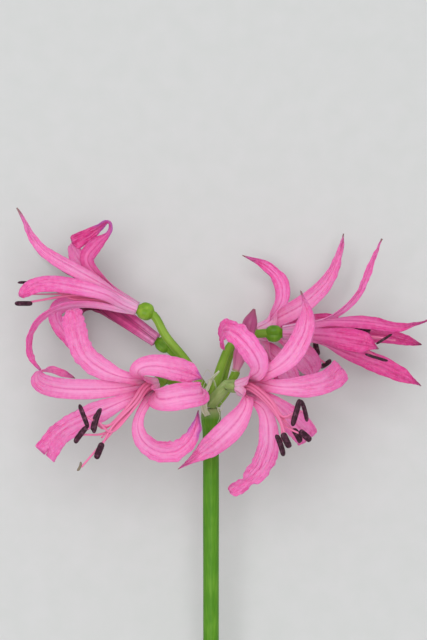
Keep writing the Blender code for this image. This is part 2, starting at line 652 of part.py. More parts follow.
def add_spathes(finishes, parent):
    for name, rows in SPATHES.items():
        add_leaf(name, rows, [], BRACT_STATIONS, BRACT_THICKNESS, finishes["spathe"], parent)


def lay_on_table(umbel):
    """Leans the stem so that its cut end and lowest tepals meet the table, box centred."""
    umbel.rotation_euler = (SCAPE_LEAN, 0, 0)
    bpy.context.view_layer.update()
    corners = []
    for item in umbel.children:
        evaluated = item.evaluated_get(bpy.context.evaluated_depsgraph_get())
        corners += [item.matrix_world @ v.co for v in evaluated.data.vertices]
    low = [min(c[i] for c in corners) for i in range(3)]
    high = [max(c[i] for c in corners) for i in range(3)]
    umbel.location = (-(low[0] + high[0]) / 2, -(low[1] + high[1]) / 2, -low[2])
    bpy.context.view_layer.update()


def main():
    clear_scene()
    finishes = make_finishes()
    umbel = bpy.data.objects.new("umbel", None)
    bpy.context.scene.collection.objects.link(umbel)
    add_scape(finishes, umbel)
    for prefix, floret in FLORETS.items():
        add_floret(prefix, floret, finishes, umbel)
    add_bud(finishes, umbel)
    add_spathes(finishes, umbel)
    lay_on_table(umbel)


main()
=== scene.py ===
# %% [markdown]
# # A cut nerine, lying on a table
# This lesson dresses the bare construction model of one cut flower stem: a leafless green scape,
# six open florets and a bud. The construction model, called the frame, gives every place and
# size. Each of its plain solids is replaced here by a finished piece: tepals with wavy margins
# and veins, stamens with grooved anthers, lobed ovaries, ribbed stalks and dry papery bracts.

# %% Load the frame
import math

import bmesh
import bpy
from mathutils import Matrix, Vector, noise


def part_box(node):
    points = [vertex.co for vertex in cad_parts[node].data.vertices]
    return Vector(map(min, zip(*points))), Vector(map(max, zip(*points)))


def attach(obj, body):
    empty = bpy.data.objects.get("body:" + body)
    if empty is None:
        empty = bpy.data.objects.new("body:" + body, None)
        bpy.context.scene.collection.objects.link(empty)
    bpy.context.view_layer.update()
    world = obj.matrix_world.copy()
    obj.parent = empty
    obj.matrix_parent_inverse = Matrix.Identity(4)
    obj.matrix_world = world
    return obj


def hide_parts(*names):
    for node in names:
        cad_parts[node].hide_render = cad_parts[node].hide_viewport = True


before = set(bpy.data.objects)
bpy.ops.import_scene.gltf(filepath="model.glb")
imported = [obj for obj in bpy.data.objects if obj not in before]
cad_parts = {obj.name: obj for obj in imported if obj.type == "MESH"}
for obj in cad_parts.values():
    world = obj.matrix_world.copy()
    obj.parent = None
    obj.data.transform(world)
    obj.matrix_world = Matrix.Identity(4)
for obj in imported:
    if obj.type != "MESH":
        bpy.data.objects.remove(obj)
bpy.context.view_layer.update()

# %% [markdown]
# ## One frame for all the pieces
# A botanist describes such a flower head from its umbel, the point at the top of the scape where
# every flower stalk starts. So the lengths below are millimetres in the umbel's own frame: +Y
# runs on along the scape and +Z faces away from the table. The umbel could be placed by hand,
# but its place is in the frame already: the scape leans by a known angle, and the rim of its top
# is the far, high corner of its box. One matrix then carries each mesh into the scene, in metres.

# %% The umbel's frame
MM = 0.001
UP = Vector((0, 0, 1))
SCAPE_LEAN = math.radians(6.6)
SCAPE_LENGTH = 322
SCAPE_TOP_RADIUS = 4.0

low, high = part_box("scape")
umbel_place = Vector((
    (low.x + high.x) / 2,
    high.y - SCAPE_TOP_RADIUS * MM * math.sin(SCAPE_LEAN),
    high.z - SCAPE_TOP_RADIUS * MM * math.cos(SCAPE_LEAN),
))
umbel = Matrix.Translation(umbel_place) @ Matrix.Rotation(SCAPE_LEAN, 4, "X")
umbel_mm = umbel @ Matrix.Scale(MM, 4)
print("umbel at", tuple(round(n, 4) for n in umbel_place))

# %% [markdown]
# ## The camera
# The camera looks down on the lying stem, square to the scape, so that the flowers stand at the
# top of the view as they would in a vase. A long lens from a metre and a half away keeps near and
# far florets in proportion. With the sensor fit on automatic, the sensor's width belongs to the
# longer side, which is the height here.

# %% Camera
CAMERA_DISTANCE = 1500
VIEW_HEIGHT = 256
VIEW_CENTRE = (1.0, 35.2)

camera_data = bpy.data.cameras.new("camera")
camera_data.lens = camera_data.sensor_width * CAMERA_DISTANCE / VIEW_HEIGHT
camera = bpy.data.objects.new("camera", camera_data)
bpy.context.scene.collection.objects.link(camera)
camera.matrix_world = umbel @ Matrix.Translation(Vector((*VIEW_CENTRE, CAMERA_DISTANCE)) * MM)
bpy.context.scene.camera = camera
bpy.context.scene.view_settings.view_transform = "Standard"
print("lens:", round(camera_data.lens, 1), "mm")

# %% [markdown]
# ## Light
# Petals show their colour best in the flat light of a studio table. Most of the light comes
# evenly from the world, and one wide soft lamp above the flowers' upper left gives the petals
# their gentle modelling. Together they light a surface at a plain level, so that a colour
# renders about as it is written.

# %% World and lamp
LAMP_SIZE = 1200
LAMP_PLACE = (-120, 230, 1650)
LAMP_WATTS = 17
WORLD_LEVEL = 0.54


def linear(hex_colour):
    """Turns an sRGB hex colour into linear red, green, blue and alpha."""
    parts = [int(hex_colour[i:i + 2], 16) / 255 for i in (1, 3, 5)]
    return (*[p / 12.92 if p < 0.04045 else ((p + 0.055) / 1.055) ** 2.4 for p in parts], 1)


def wire(node, inputs):
    """Gives each input a value, a hex colour, a socket, or a node for its first live output."""
    for key, value in inputs.items():
        if isinstance(value, bpy.types.Node):
            value = next(output for output in value.outputs if output.enabled)
        if isinstance(value, bpy.types.NodeSocket):
            node.id_data.links.new(value, node.inputs[key])
        else:
            node.inputs[key].default_value = linear(value) if isinstance(value, str) else value


def add(tree, kind, inputs=None, stops=(), **settings):
    """Adds a shader node with its settings, its inputs and a colour ramp's stops."""
    node = tree.nodes.new("ShaderNode" + kind)
    for name, value in settings.items():
        setattr(node, name, value)
    wire(node, inputs or {})
    if stops:
        elements = node.color_ramp.elements
        elements.remove(elements[1])
        elements[0].position = stops[0][0]
        elements[0].color = linear(stops[0][1])
        for place, colour in stops[1:]:
            elements.new(place).color = linear(colour)
    return node


scene = bpy.context.scene
world = bpy.data.worlds.new("studio")
world.use_nodes = True
scene.world = world
tree = world.node_tree
rays = add(tree, "LightPath")
seen = add(tree, "Math", {0: rays.outputs["Is Camera Ray"], 1: rays.outputs["Is Glossy Ray"]},
           operation="MAXIMUM")
level = add(tree, "Mix", {0: seen, 2: WORLD_LEVEL, 3: 1.0})
colour = add(tree, "Mix", {0: seen, 6: "#FFFFFF", 7: "#D5D5D6"}, data_type="RGBA")
wire(tree.nodes["Background"], {"Color": colour, "Strength": level})

lamp_data = bpy.data.lights.new("soft_lamp", "AREA")
lamp_data.size = LAMP_SIZE * MM
lamp_data.energy = LAMP_WATTS
lamp = bpy.data.objects.new("soft_lamp", lamp_data)
scene.collection.objects.link(lamp)
lamp.location = umbel_mm @ Vector(LAMP_PLACE)
lamp.rotation_euler = (umbel_place - lamp.location).to_track_quat("-Z", "Y").to_euler()
print("lamp at", tuple(round(n, 2) for n in lamp.location))

# %% [markdown]
# ## What the finishes have in common
# Every finish starts the same way: a new material, its shader's own sockets set, and a grain,
# which is noise stretched to its real size along one set of texture coordinates. A plant's
# surface has little shine of its own, so each is a dielectric with a middling roughness, and its
# life comes from colour that changes along and across the piece.

# %% A helper for finishes
def new_finish(name, roughness, specular, output, scale, texture="TexNoise", **settings):
    """Makes a material; returns it, its node tree, its shader, its coordinates and its grain."""
    material = bpy.data.materials.new(name)
    material.use_nodes = True
    tree = material.node_tree
    shader = tree.nodes["Principled BSDF"]
    wire(shader, {"Roughness": roughness, "Specular IOR Level": specular})
    place = add(tree, "TexCoord")
    stretch = add(tree, "Mapping", {"Vector": place.outputs[output], "Scale": scale})
    grain = add(tree, texture, {"Vector": stretch, "Scale": 1, **settings})
    return material, tree, shader, place, grain

# %% [markdown]
# ## Table
# The stem lies on a sheet of pale grey card with a faint mottle. It could be a real sheet with
# edges, but a very wide plane keeps them out of every view. A small helper puts a mesh in the
# scene, as it will for every piece.

# %% Table
TABLE_WIDTH = 6000
CARD_MOTTLE = 9

card, tree, shader, _, mottle = new_finish("pale_grey_card", 0.9, 0.2, "Object",
                                           [1000 / CARD_MOTTLE] * 3)
tint = add(tree, "ValToRGB", {"Fac": mottle}, stops=((0.3, "#D1D3D2"), (0.7, "#D4D5D5")))
wire(shader, {"Base Color": tint})


def show(name, bm, material):
    """Makes a mesh object from a bmesh in metres; it stays at the scene's origin."""
    mesh = bpy.data.meshes.new(name)
    bm.to_mesh(mesh)
    bm.free()
    mesh.materials.append(material)
    shown = bpy.data.objects.new(name, mesh)
    scene.collection.objects.link(shown)
    return shown


bm = bmesh.new()
bmesh.ops.create_grid(bm, x_segments=2, y_segments=2, size=TABLE_WIDTH / 2 * MM)
table = show("table", bm, card)
print("table:", TABLE_WIDTH, "mm wide")

# %% [markdown]
# ## Tepal tissue
# A nerine's tepal is a thin skin over air-filled tissue. The skin's cells run lengthwise, so the
# eye sees fine streaks, a dark groove down the middle with a pale band on each side, and a paler
# claw near the flower's throat. The tip dries first and turns brown. The strip's own UV map runs
# along and across every tepal, so the streaks follow each bend and draw together at both ends.
# Tepals that face the light are a clear pink, and those behind or underneath are painted a deeper
# pink for their shade, so the same recipe is mixed in four tones, from lit to shaded: painted
# shade, darkest where a neighbour's shadow falls on a tube.

# %% Tepal finish
TEPAL_USUAL_WIDTH = 8
TEPAL_USUAL_LENGTH = 62
STREAK_WIDTH = 0.7
STREAK_LENGTH = 22
PUCKER_WIDTH = 1.6
CREASE_LENGTH = 5
CREASE_SPACING = 2.4
SKIN_RELIEF = 0.2
FLESH_DEPTH = 1.5
FLESH_TINT = (1.0, 0.35, 0.6)
VIOLET = "#A468BC"

# Lit and shaded copies of one pink: every deeper tone is painted shade, and the darkest paints a
# cast shadow.
LIT_AND_SHADED_TONES = {
    "front": ("#F2B6D0", "#EE7CB4", "#F886C0", "#F676B8", "#D65098", "#FCACD4", "#BC8488"),
    "side": ("#F4B2D0", "#F694C6", "#FA7ABE", "#F462AE", "#D0448E", "#FCA8D6", "#B07A7C"),
    "shaded": ("#E09ABC", "#E673AE", "#E2529E", "#DE4694", "#B02E72", "#EE86BC", "#9A5A6C"),
    "cast_shadow": ("#FFA2D2", "#F85EA8", "#561030", "#DC5A9E", "#540E32", "#A82E70", "#8A4A64"),
}


def tepal_finish(tone, claw, throat, blade, end, vein, band, dry):
    """Mixes a tepal's skin from its seven colours."""
    material, tree, shader, place, streaks = new_finish(
        f"tepal_skin_{tone}", 0.5, 0.2, "UV",
        (TEPAL_USUAL_WIDTH / STREAK_WIDTH, TEPAL_USUAL_LENGTH / STREAK_LENGTH, 1),
        Detail=3, Distortion=0.5)
    uv = add(tree, "SeparateXYZ", {0: place.outputs["UV"]})
    along = uv.outputs["Y"]
    off_middle = add(tree, "Math", {0: uv.outputs["X"], 1: 0.5}, operation="SUBTRACT")
    side = add(tree, "Math", {0: off_middle}, operation="ABSOLUTE")
    drift = add(tree, "TexNoise", {"Vector": place.outputs["Object"], "Scale": 170, "Detail": 3})
    pucker = add(tree, "TexNoise", {"Vector": place.outputs["Object"],
                                    "Scale": 1000 / PUCKER_WIDTH, "Detail": 2})
    squeeze = add(tree, "Mapping", {
        "Vector": place.outputs["UV"],
        "Scale": (TEPAL_USUAL_WIDTH / CREASE_LENGTH, TEPAL_USUAL_LENGTH / CREASE_SPACING, 1),
    })
    creases = add(tree, "TexNoise", {"Vector": squeeze, "Scale": 1, "Detail": 2,
                                     "Distortion": 0.8})
    bruise = add(tree, "Attribute", attribute_name="bruise").outputs["Fac"]
    dryness = add(tree, "Attribute", attribute_name="dryness").outputs["Fac"]
    # What drives each share, the stretch of it that counts, and the share at either end.
    names = ("Value", "From Min", "From Max", "To Min", "To Max")
    blotch, frayed, fading, streaked, midrib, thinning, rim_pigment_and_shade, crease_shade, outward, pucker_highlight = (
        add(tree, "MapRange", dict(zip(names, row)))
        for row in ((drift, 0, 1, -0.12, 0.12), (streaks, 0, 1, -0.12, 0.12),
                    (along, 0.4, 0.95, 0.65, 0.15), (streaks, 0.5, 0.72, 0, 0.42),
                    (side, 0.015, 0.06, 0.5, 0), (along, 0.3, 0.95, 1, 0.25),
                    (side, 0.38, 0.5, 0, 0.4), (creases, 0.52, 0.66, 0, 1),
                    (along, 0.6, 0.92, 0, 0.45), (pucker, 0.42, 0.7, 0, 0.3)))
    # The pale bands lie each side of the midrib, and the streaks fray them.
    place_across = add(tree, "Math", {0: side, 1: frayed})
    banded = add(tree, "ValToRGB", {"Fac": place_across},
                 stops=((0.02, "#404040"), (0.1, "#FFFFFF"), (0.24, "#A0A0A0"),
                        (0.38, "#000000")))
    # Creases towards the tip darken: painted shade.
    crease_dent_and_shade = add(tree, "Math", {0: crease_shade, 1: outward}, operation="MULTIPLY")
    # The body colour, then each layer over it: bands, streaks, midrib, deeper margins (deeper
    # pink with painted shade where tepals overlap), painted shade in the creases, small painted
    # highlights on the puckers, the bruised margins and the dry tip.
    shifted = add(tree, "Math", {0: along, 1: blotch})
    skin = add(tree, "ValToRGB", {"Fac": shifted},
               stops=((0.02, claw), (0.16, throat), (0.45, blade), (0.85, end)))
    for share, fade, colour in ((banded, fading, band), (streaked, 1, vein),
                                (midrib, thinning, vein), (rim_pigment_and_shade, 1, vein), (crease_dent_and_shade, 1, vein),
                                (pucker_highlight, 1, band), (bruise, 0.6, VIOLET), (dryness, 1, dry)):
        share = add(tree, "Math", {0: share, 1: fade}, operation="MULTIPLY")
        skin = add(tree, "Mix", {0: share, 6: skin, 7: colour}, data_type="RGBA")
    raised = add(tree, "Math", {0: streaks, 1: pucker})
    relief = add(tree, "Math", {0: raised, 1: crease_dent_and_shade}, operation="SUBTRACT")
    bump = add(tree, "Bump", {"Height": relief, "Strength": 0.7, "Distance": SKIN_RELIEF * MM})
    wire(shader, {"Base Color": skin, "Normal": bump, "Subsurface Weight": 0.5,
                  "Subsurface Scale": FLESH_DEPTH * MM, "Subsurface Radius": FLESH_TINT})
    return material


tepal_skins = {tone: tepal_finish(tone, *colours) for tone, colours in LIT_AND_SHADED_TONES.items()}
print("tepal skins:", list(tepal_skins))

# %% [markdown]
# ## Green stalk skin
# The scape and the flower stalks have a smooth, slightly waxy skin over long fibres. It is green
# with yellow-green streaks, and greyer where the bloom of wax is thick. The streaks run along the
# stalk: on the scape they come from noise on Object coordinates, drawn out along Y, and on the
# curved flower stalks from the tube's own UV map.

# %% Stalk finishes
STALK_STREAK_WIDTH = 0.8
STALK_STREAK_LENGTH = 30
STALK_RELIEF = 0.08
STALK_SHINE = 0.28
WAX_SHARE = 0.45
ON_SCAPE = [1 / (size * MM)
            for size in (STALK_STREAK_WIDTH, STALK_STREAK_LENGTH, STALK_STREAK_WIDTH)]
ON_STALK = (12, 2.5, 1)
ON_OVARY = (3, 3, 1)
GREENS = {
    "waxy_scape_skin": ("#437C0C", "#518A14", "#689C28", 0.55, "Object", ON_SCAPE),
    "waxy_flower_stalk": ("#5A8A14", "#709E22", "#8EB240", 0.55, "UV", ON_STALK),
    "fresh_flower_stalk": ("#648E1E", "#7CA42E", "#A0BE52", 0.55, "UV", ON_STALK),
    "grey_flower_stalk": ("#6E8C42", "#8CA45E", "#B0C28C", 0.55, "UV", ON_STALK),
    "glossy_ovary_skin": ("#4A7A0E", "#62941A", "#8CB438", 0.42, "UV", ON_OVARY),
    "fresh_ovary_skin": ("#54860E", "#749E20", "#A6C84A", 0.42, "UV", ON_OVARY),
}
DRY_TOP = "#9DA877"

greens = {}
for name, (dark, middle, light, roughness, output, scale) in GREENS.items():
    greens[name], tree, shader, place, streaks = new_finish(
        name, roughness, STALK_SHINE, output, scale, Detail=4)
    wax = add(tree, "TexNoise", {"Vector": place.outputs["Object"], "Scale": 95, "Detail": 2})
    both = add(tree, "Mix", {0: WAX_SHARE, 2: streaks, 3: wax})
    skin = add(tree, "ValToRGB", {"Fac": both},
               stops=((0.3, dark), (0.5, middle), (0.7, light)))
    if scale is ON_SCAPE:
        # Towards the umbel the scape is drier and browner.
        height = add(tree, "SeparateXYZ", {0: place.outputs["Object"]})
        top = add(tree, "MapRange", {"Value": height.outputs["Y"], "To Max": 0.8,
                                     "From Min": umbel_place.y - 5 * MM,
                                     "From Max": umbel_place.y - 1 * MM})
        skin = add(tree, "Mix", {0: top, 6: skin, 7: DRY_TOP}, data_type="RGBA")
    bump = add(tree, "Bump", {"Height": streaks, "Strength": 0.5,
                              "Distance": STALK_RELIEF * MM})
    wire(shader, {"Base Color": skin, "Normal": bump, "Subsurface Weight": 0.08,
                  "Subsurface Scale": FLESH_DEPTH * MM})
print("green skins:", list(greens))

# %% [markdown]
# ## Filaments, anthers, dry bracts and the bud
# The filaments and style are pink threads, a little translucent, with lighter pink painted on as
# highlights. The anthers are dark plum sacs that have not shed their pollen: a matt skin with a
# painted mauve highlight on its raised parts. The spathe that once wrapped the bud is now dry,
# papery and colourless, with brown along its fibres. The closed bud is dusky pink, greener at its
# base, with darker streaks along its length.

# %% Filament, anther, bract and bud finishes
FILAMENT_GRAIN = 5 / 3
ANTHER_GRAIN = 1.2
DRY_RELIEF = 0.15
THREAD_HIGHLIGHT = "#F7A9CC"
WITHERED = "#8A7C6A"
STREAK_PINK = "#8C2F62"
THREADS_PINK = {"filament": ("#F07CAE", "#F06CA4"), "style": ("#F2A8C8", "#E0629A")}

thread_skins = {}
for kind, (base, tip) in THREADS_PINK.items():
    thread_skins[kind], tree, shader, place, grain = new_finish(
        f"{kind}_thread", 0.4, 0.45, "Object", [1000 / FILAMENT_GRAIN] * 3)
    uv = add(tree, "SeparateXYZ", {0: place.outputs["UV"]})
    run = add(tree, "ValToRGB", {"Fac": uv.outputs["Y"]}, stops=((0, base), (1, tip)))
    # Lighter pink on the grain is a painted highlight.
    highlighted = add(tree, "Mix", {0: grain, 6: run, 7: THREAD_HIGHLIGHT}, data_type="RGBA")
    toned = add(tree, "Mix", {0: 0.35, 6: run, 7: highlighted}, data_type="RGBA")
    wire(shader, {"Base Color": toned})

anther_skin, tree, shader, _, grain = new_finish(
    "plum_anther_sac", 0.45, 0.22, "Object", [1000 / ANTHER_GRAIN] * 3, Detail=3)
# The mauve on the raised grain is a painted highlight.
plum_with_highlight = add(tree, "ValToRGB", {"Fac": grain},
            stops=((0.35, "#2A0E1C"), (0.55, "#44182E"), (0.75, "#744A60")))
dryness = add(tree, "Attribute", attribute_name="dryness").outputs["Fac"]
sac = add(tree, "Mix", {0: dryness, 6: plum_with_highlight, 7: WITHERED}, data_type="RGBA")
bump = add(tree, "Bump", {"Height": grain, "Strength": 0.5, "Distance": DRY_RELIEF * MM})
wire(shader, {"Base Color": sac, "Normal": bump})

bract_skin, tree, shader, _, fibres = new_finish(
    "dry_papery_bract", 0.7, 0.25, "UV", (9, 1.5, 1), Detail=4)
paper = add(tree, "ValToRGB", {"Fac": fibres},
            stops=((0.3, "#98A07C"), (0.48, "#C2C8A8"), (0.7, "#E4E6DA")))
bump = add(tree, "Bump", {"Height": fibres, "Strength": 0.7, "Distance": DRY_RELIEF * MM})
wire(shader, {"Base Color": paper, "Normal": bump})

bud_skin, tree, shader, place, streaks = new_finish(
    "dusky_bud_skin", 0.42, 0.4, "UV", (14, 2, 1), Detail=3)
uv = add(tree, "SeparateXYZ", {0: place.outputs["UV"]})
ripening = add(tree, "ValToRGB", {"Fac": uv.outputs["Y"]},
               stops=((0.0, "#8FA04E"), (0.05, "#D08AA4"), (0.3, "#D4669E"),
                      (0.85, "#B84E84"), (1.0, "#8E4B5C")))
# Darker pink along lengthwise streaks.
streaked = add(tree, "MapRange", {"Value": streaks, "From Min": 0.45, "From Max": 0.7,
                                  "To Max": 0.6})
skin = add(tree, "Mix", {0: streaked, 6: ripening, 7: STREAK_PINK}, data_type="RGBA")
wire(shader, {"Base Color": skin})
print("thread, anther, bract and bud finishes made")

# %% [markdown]
# ## Smooth runs
# Petals and stalks are both drawn along a run: a few places that a smooth curve passes through.
# Blender's curves could draw them, but a petal also changes its width and its roll as it goes.
# So one helper reads any rows of numbers off a Catmull-Rom curve, evenly along its length, and
# another gives frames along it that don't twist.

# %% Runs and frames
CURVE_STEPS = 24
WAVE_HEIGHT = 1.8
SEED_SPACING = (5.37, 1.91)


def smooth_rows(rows, count):
    """Reads count rows off a Catmull-Rom curve. A row's first three numbers are its place."""
    first = [2 * a - b for a, b in zip(rows[0], rows[1])]
    last = [2 * a - b for a, b in zip(rows[-1], rows[-2])]
    knots = [first] + [list(row) for row in rows] + [last]
    fine = []
    for i in range(1, len(knots) - 2):
        steps = CURVE_STEPS + (i == len(knots) - 3)
        for t in (k / CURVE_STEPS for k in range(steps)):
            fine.append([
                0.5 * (2 * q + (r - p) * t + (2 * p - 5 * q + 4 * r - s) * t * t
                       + (3 * q - p - 3 * r + s) * t ** 3)
                for p, q, r, s in zip(*knots[i - 1:i + 3])
            ])
    run = [0.0]
    for a, b in zip(fine, fine[1:]):
        run.append(run[-1] + (Vector(b[:3]) - Vector(a[:3])).length)
    picked = []
    j = 0
    for k in range(count):
        want = run[-1] * k / (count - 1)
        while j < len(run) - 2 and run[j + 1] < want:
            j += 1
        t = (want - run[j]) / (run[j + 1] - run[j])
        picked.append([a + (b - a) * t for a, b in zip(fine[j], fine[j + 1])])
    return picked, run[-1]


def tangents_of(rows):
    points = [Vector(row[:3]) for row in rows]
    last = len(points) - 1
    return [(points[min(i + 1, last)] - points[max(i - 1, 0)]).normalized()
            for i in range(last + 1)]


def turned_up(tangent, degrees):
    """The direction square to a run that faces up most, turned about the run."""
    toward_up = (UP - tangent * UP.dot(tangent)).normalized()
    return Matrix.Rotation(math.radians(degrees), 3, tangent) @ toward_up


def frames_along(rows, first_axis=None):
    """Frames that don't twist along a run, each with its Z along it."""
    tangents = tangents_of(rows)
    if first_axis is not None:
        tangents[0] = first_axis
    turn = UP.rotation_difference(tangents[0])
    frames = []
    for i, (row, tangent) in enumerate(zip(rows, tangents)):
        if i:
            turn = tangents[i - 1].rotation_difference(tangent) @ turn
        frames.append(Matrix.Translation(row[:3]) @ turn.to_matrix().to_4x4())
    return frames


def ease(value, low, high):
    """0 below low, 1 above high and a smooth step between."""
    t = min(1.0, max(0.0, (value - low) / (high - low)))
    return t * t * (3 - 2 * t)


def wave(run, wavelength, seed):
    """A soft random wave along a run of millimetres, from about -1 to 1."""
    spread = [seed * spacing for spacing in SEED_SPACING]
    return WAVE_HEIGHT * noise.noise(Vector((run / wavelength, *spread)))

# %% [markdown]
# ## Bent grids and finished pieces
# Everything here is a strip or a tube, so everything starts as one flat grid. The grid operator
# gives it a UV map, and then each vertex is moved to its place on the strip or tube. A tube's
# long edges meet and are merged, and its ends are filled. A finished mesh is carried into the
# scene by the umbel's matrix, and its object stays at the origin.

# %% Grids, tubes and pieces
MERGE_DISTANCE = 0.001
SMOOTH_ANGLE = 50


def bent_grid(across, along, place, **marks):
    """A grid whose vertices, numbered from 0 to 1 each way, are moved to place(u, v).

    Each mark is an attribute that the finish reads, worked out from u and v as well.
    """
    bm = bmesh.new()
    bm.loops.layers.uv.new("UVMap")
    layers = {bm.verts.layers.float.new(name): mark for name, mark in marks.items()}
    bmesh.ops.create_grid(bm, x_segments=across, y_segments=along, size=1, calc_uvs=True)
    for vert in bm.verts:
        u, v = (vert.co.x + 1) / 2, (vert.co.y + 1) / 2
        for layer, mark in layers.items():
            vert[layer] = mark(u, v)
        vert.co = place(u, v)
    return bm


def tube(frames, radius, sides):
    """A closed tube along frames; radius(v, angle) gives its outline in millimetres."""
    steps = len(frames) - 1

    def place(u, v):
        angle = math.tau * u
        reach = radius(v, angle)
        return frames[round(v * steps)] @ Vector((math.cos(angle) * reach,
                                                  math.sin(angle) * reach, 0))

    bm = bent_grid(sides, steps, place)
    bmesh.ops.remove_doubles(bm, verts=bm.verts, dist=MERGE_DISTANCE)
    rims = [edge for edge in bm.edges if edge.is_boundary]
    bmesh.ops.holes_fill(bm, edges=rims, sides=0)
    bmesh.ops.recalc_face_normals(bm, faces=bm.faces)
    return bm


def join(bm, other):
    """Moves another bmesh's shape into this one."""
    carried = bpy.data.meshes.new("carried")
    other.to_mesh(carried)
    other.free()
    bm.from_mesh(carried)
    bpy.data.meshes.remove(carried)


def finish_piece(name, bm, material, slot, *nodes, sharp=SMOOTH_ANGLE):
    """Makes an object from a mesh in millimetres; it stands for the frame's nodes."""
    bmesh.ops.transform(bm, matrix=umbel_mm, verts=bm.verts)
    piece = show(name, bm, material)
    piece.data.shade_smooth()
    piece.data.set_sharp_from_angle(angle=math.radians(sharp))
    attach(piece, "root")
    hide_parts(*nodes)
    return piece


def thicken(piece, name, thickness):
    """Gives a flat piece its thickness, half on each side."""
    solid = piece.modifiers.new(name, "SOLIDIFY")
    solid.thickness = thickness * MM
    solid.offset = 0

# %% [markdown]
# ## The scape
# The scape is the leafless stalk, solid and slightly swollen at both ends. It carries low ribs,
# too fine to model one by one from rings of faces, so the tube's outline rises and falls a little
# around. Its lower end was cut with a knife, and that flat face shows the paler pith.

# %% Scape
# How far below the top, and the radius there.
SCAPE_PROFILE = ((0, 3.75), (4, 3.95), (10, 3.3), (20, 3.1), (150, 3.1), (SCAPE_LENGTH, 3.5))
SCAPE_SIDES = 48
SCAPE_RIBS = 9
SCAPE_RIB_SHARE = 0.02
RIB_DRIFT = 0.6
RIB_DRIFT_WAVE = 60
SCAPE_UNEVEN_SHARE = 0.025
SCAPE_WAVE = 35
CUT_BEVEL = 0.3
ROUNDED_RIMS = {0: 0.8, 0.4: 0.95, SCAPE_LENGTH: 0.96}


def scape_radius(down):
    """The scape's radius at a distance below its top."""
    for (above, one), (below, two) in zip(SCAPE_PROFILE, SCAPE_PROFILE[1:]):
        if down <= below:
            return one + (two - one) * ease(down, above, below)
    return SCAPE_PROFILE[-1][1]


stations = [0, 0.4, 1, 2, 3, 4, 6, 8, 10, 13, 16, 20, *range(30, SCAPE_LENGTH - 1, 10),
            SCAPE_LENGTH - CUT_BEVEL, SCAPE_LENGTH]


def scape_outline(v, angle):
    down = stations[round(v * (len(stations) - 1))]
    drift = RIB_DRIFT * wave(down, RIB_DRIFT_WAVE, 1)
    ribbed = 1 + SCAPE_RIB_SHARE * math.sin(SCAPE_RIBS * angle + drift)
    uneven = 1 + SCAPE_UNEVEN_SHARE * wave(down, SCAPE_WAVE, 2)
    return scape_radius(down) * ribbed * uneven * ROUNDED_RIMS.get(down, 1)


frames = frames_along([(0, -down, 0) for down in stations])
finish_piece("scape_stalk", tube(frames, scape_outline, SCAPE_SIDES), greens["waxy_scape_skin"],
             "scape", "scape")
print("scape:", SCAPE_LENGTH, "mm")

# %% Cut face
PITH_RADIUS = 3.2
PITH_PROUD = 0.15
PITH_SUNK = 0.2
PITH_RIM = 0.5
PITH_DISH = 0.1
STRAND_WIDTH = 0.9

pith_skin, tree, shader, _, strands = new_finish(
    "cut_pith", 0.75, 0.3, "Object", [1000 / STRAND_WIDTH] * 3, "TexVoronoi")
pith = add(tree, "ValToRGB", {"Fac": strands},
           stops=((0.1, "#8FA05A"), (0.35, "#C3CC95"), (0.7, "#D8DDB4")))
wire(shader, {"Base Color": pith})

bm = bmesh.new()
bmesh.ops.create_circle(bm, cap_ends=True, radius=PITH_RADIUS, segments=SCAPE_SIDES)
bmesh.ops.translate(bm, vec=(0, 0, -PITH_SUNK), verts=bm.verts)
drawn = bmesh.ops.extrude_face_region(bm, geom=list(bm.faces))
front = [item for item in drawn["geom"] if isinstance(item, bmesh.types.BMVert)]
bmesh.ops.translate(bm, vec=(0, 0, PITH_SUNK + PITH_PROUD), verts=front)
top = [face for face in bm.faces if all(vert in front for vert in face.verts)]
bmesh.ops.inset_region(bm, faces=top, thickness=PITH_RIM, depth=-PITH_DISH)
bmesh.ops.recalc_face_normals(bm, faces=bm.faces)
end = Matrix.Translation((0, -SCAPE_LENGTH, 0)) @ Matrix.Rotation(math.radians(90), 4, "X")
bmesh.ops.transform(bm, matrix=end, verts=bm.verts)
finish_piece("scape_cut_face", bm, pith_skin, "scape", "scape")
print("cut face:", 2 * PITH_RADIUS, "mm across")

# %% [markdown]
# ## Flower stalks
# Each floret stands on a pedicel of its own, seated in a ring on the scape's top. A pedicel is a
# thin, faintly angled green stalk that widens a little under the ovary. A tube along a smooth
# run gives it, with an outline of low ribs.

# %% Pedicels
SEAT_GAP = 0.3
STALK_SINK = 1.2
PEDICEL_RING_RADIUS = 2.6
PEDICEL_RISE = 1.5
PEDICEL_LEAD = 1.2
PEDICEL_STATIONS = 28
PEDICEL_SIDES = 24
PEDICEL_FOOT_SHARE = 0.72
PEDICEL_FLARE = 0.12
PEDICEL_RIBS = 6
PEDICEL_RIB_DEPTH = 0.035
PEDICEL_TAPER = 0.25
PEDICEL_UNEVEN_SHARE = 0.03
PEDICEL_WAVE = 9


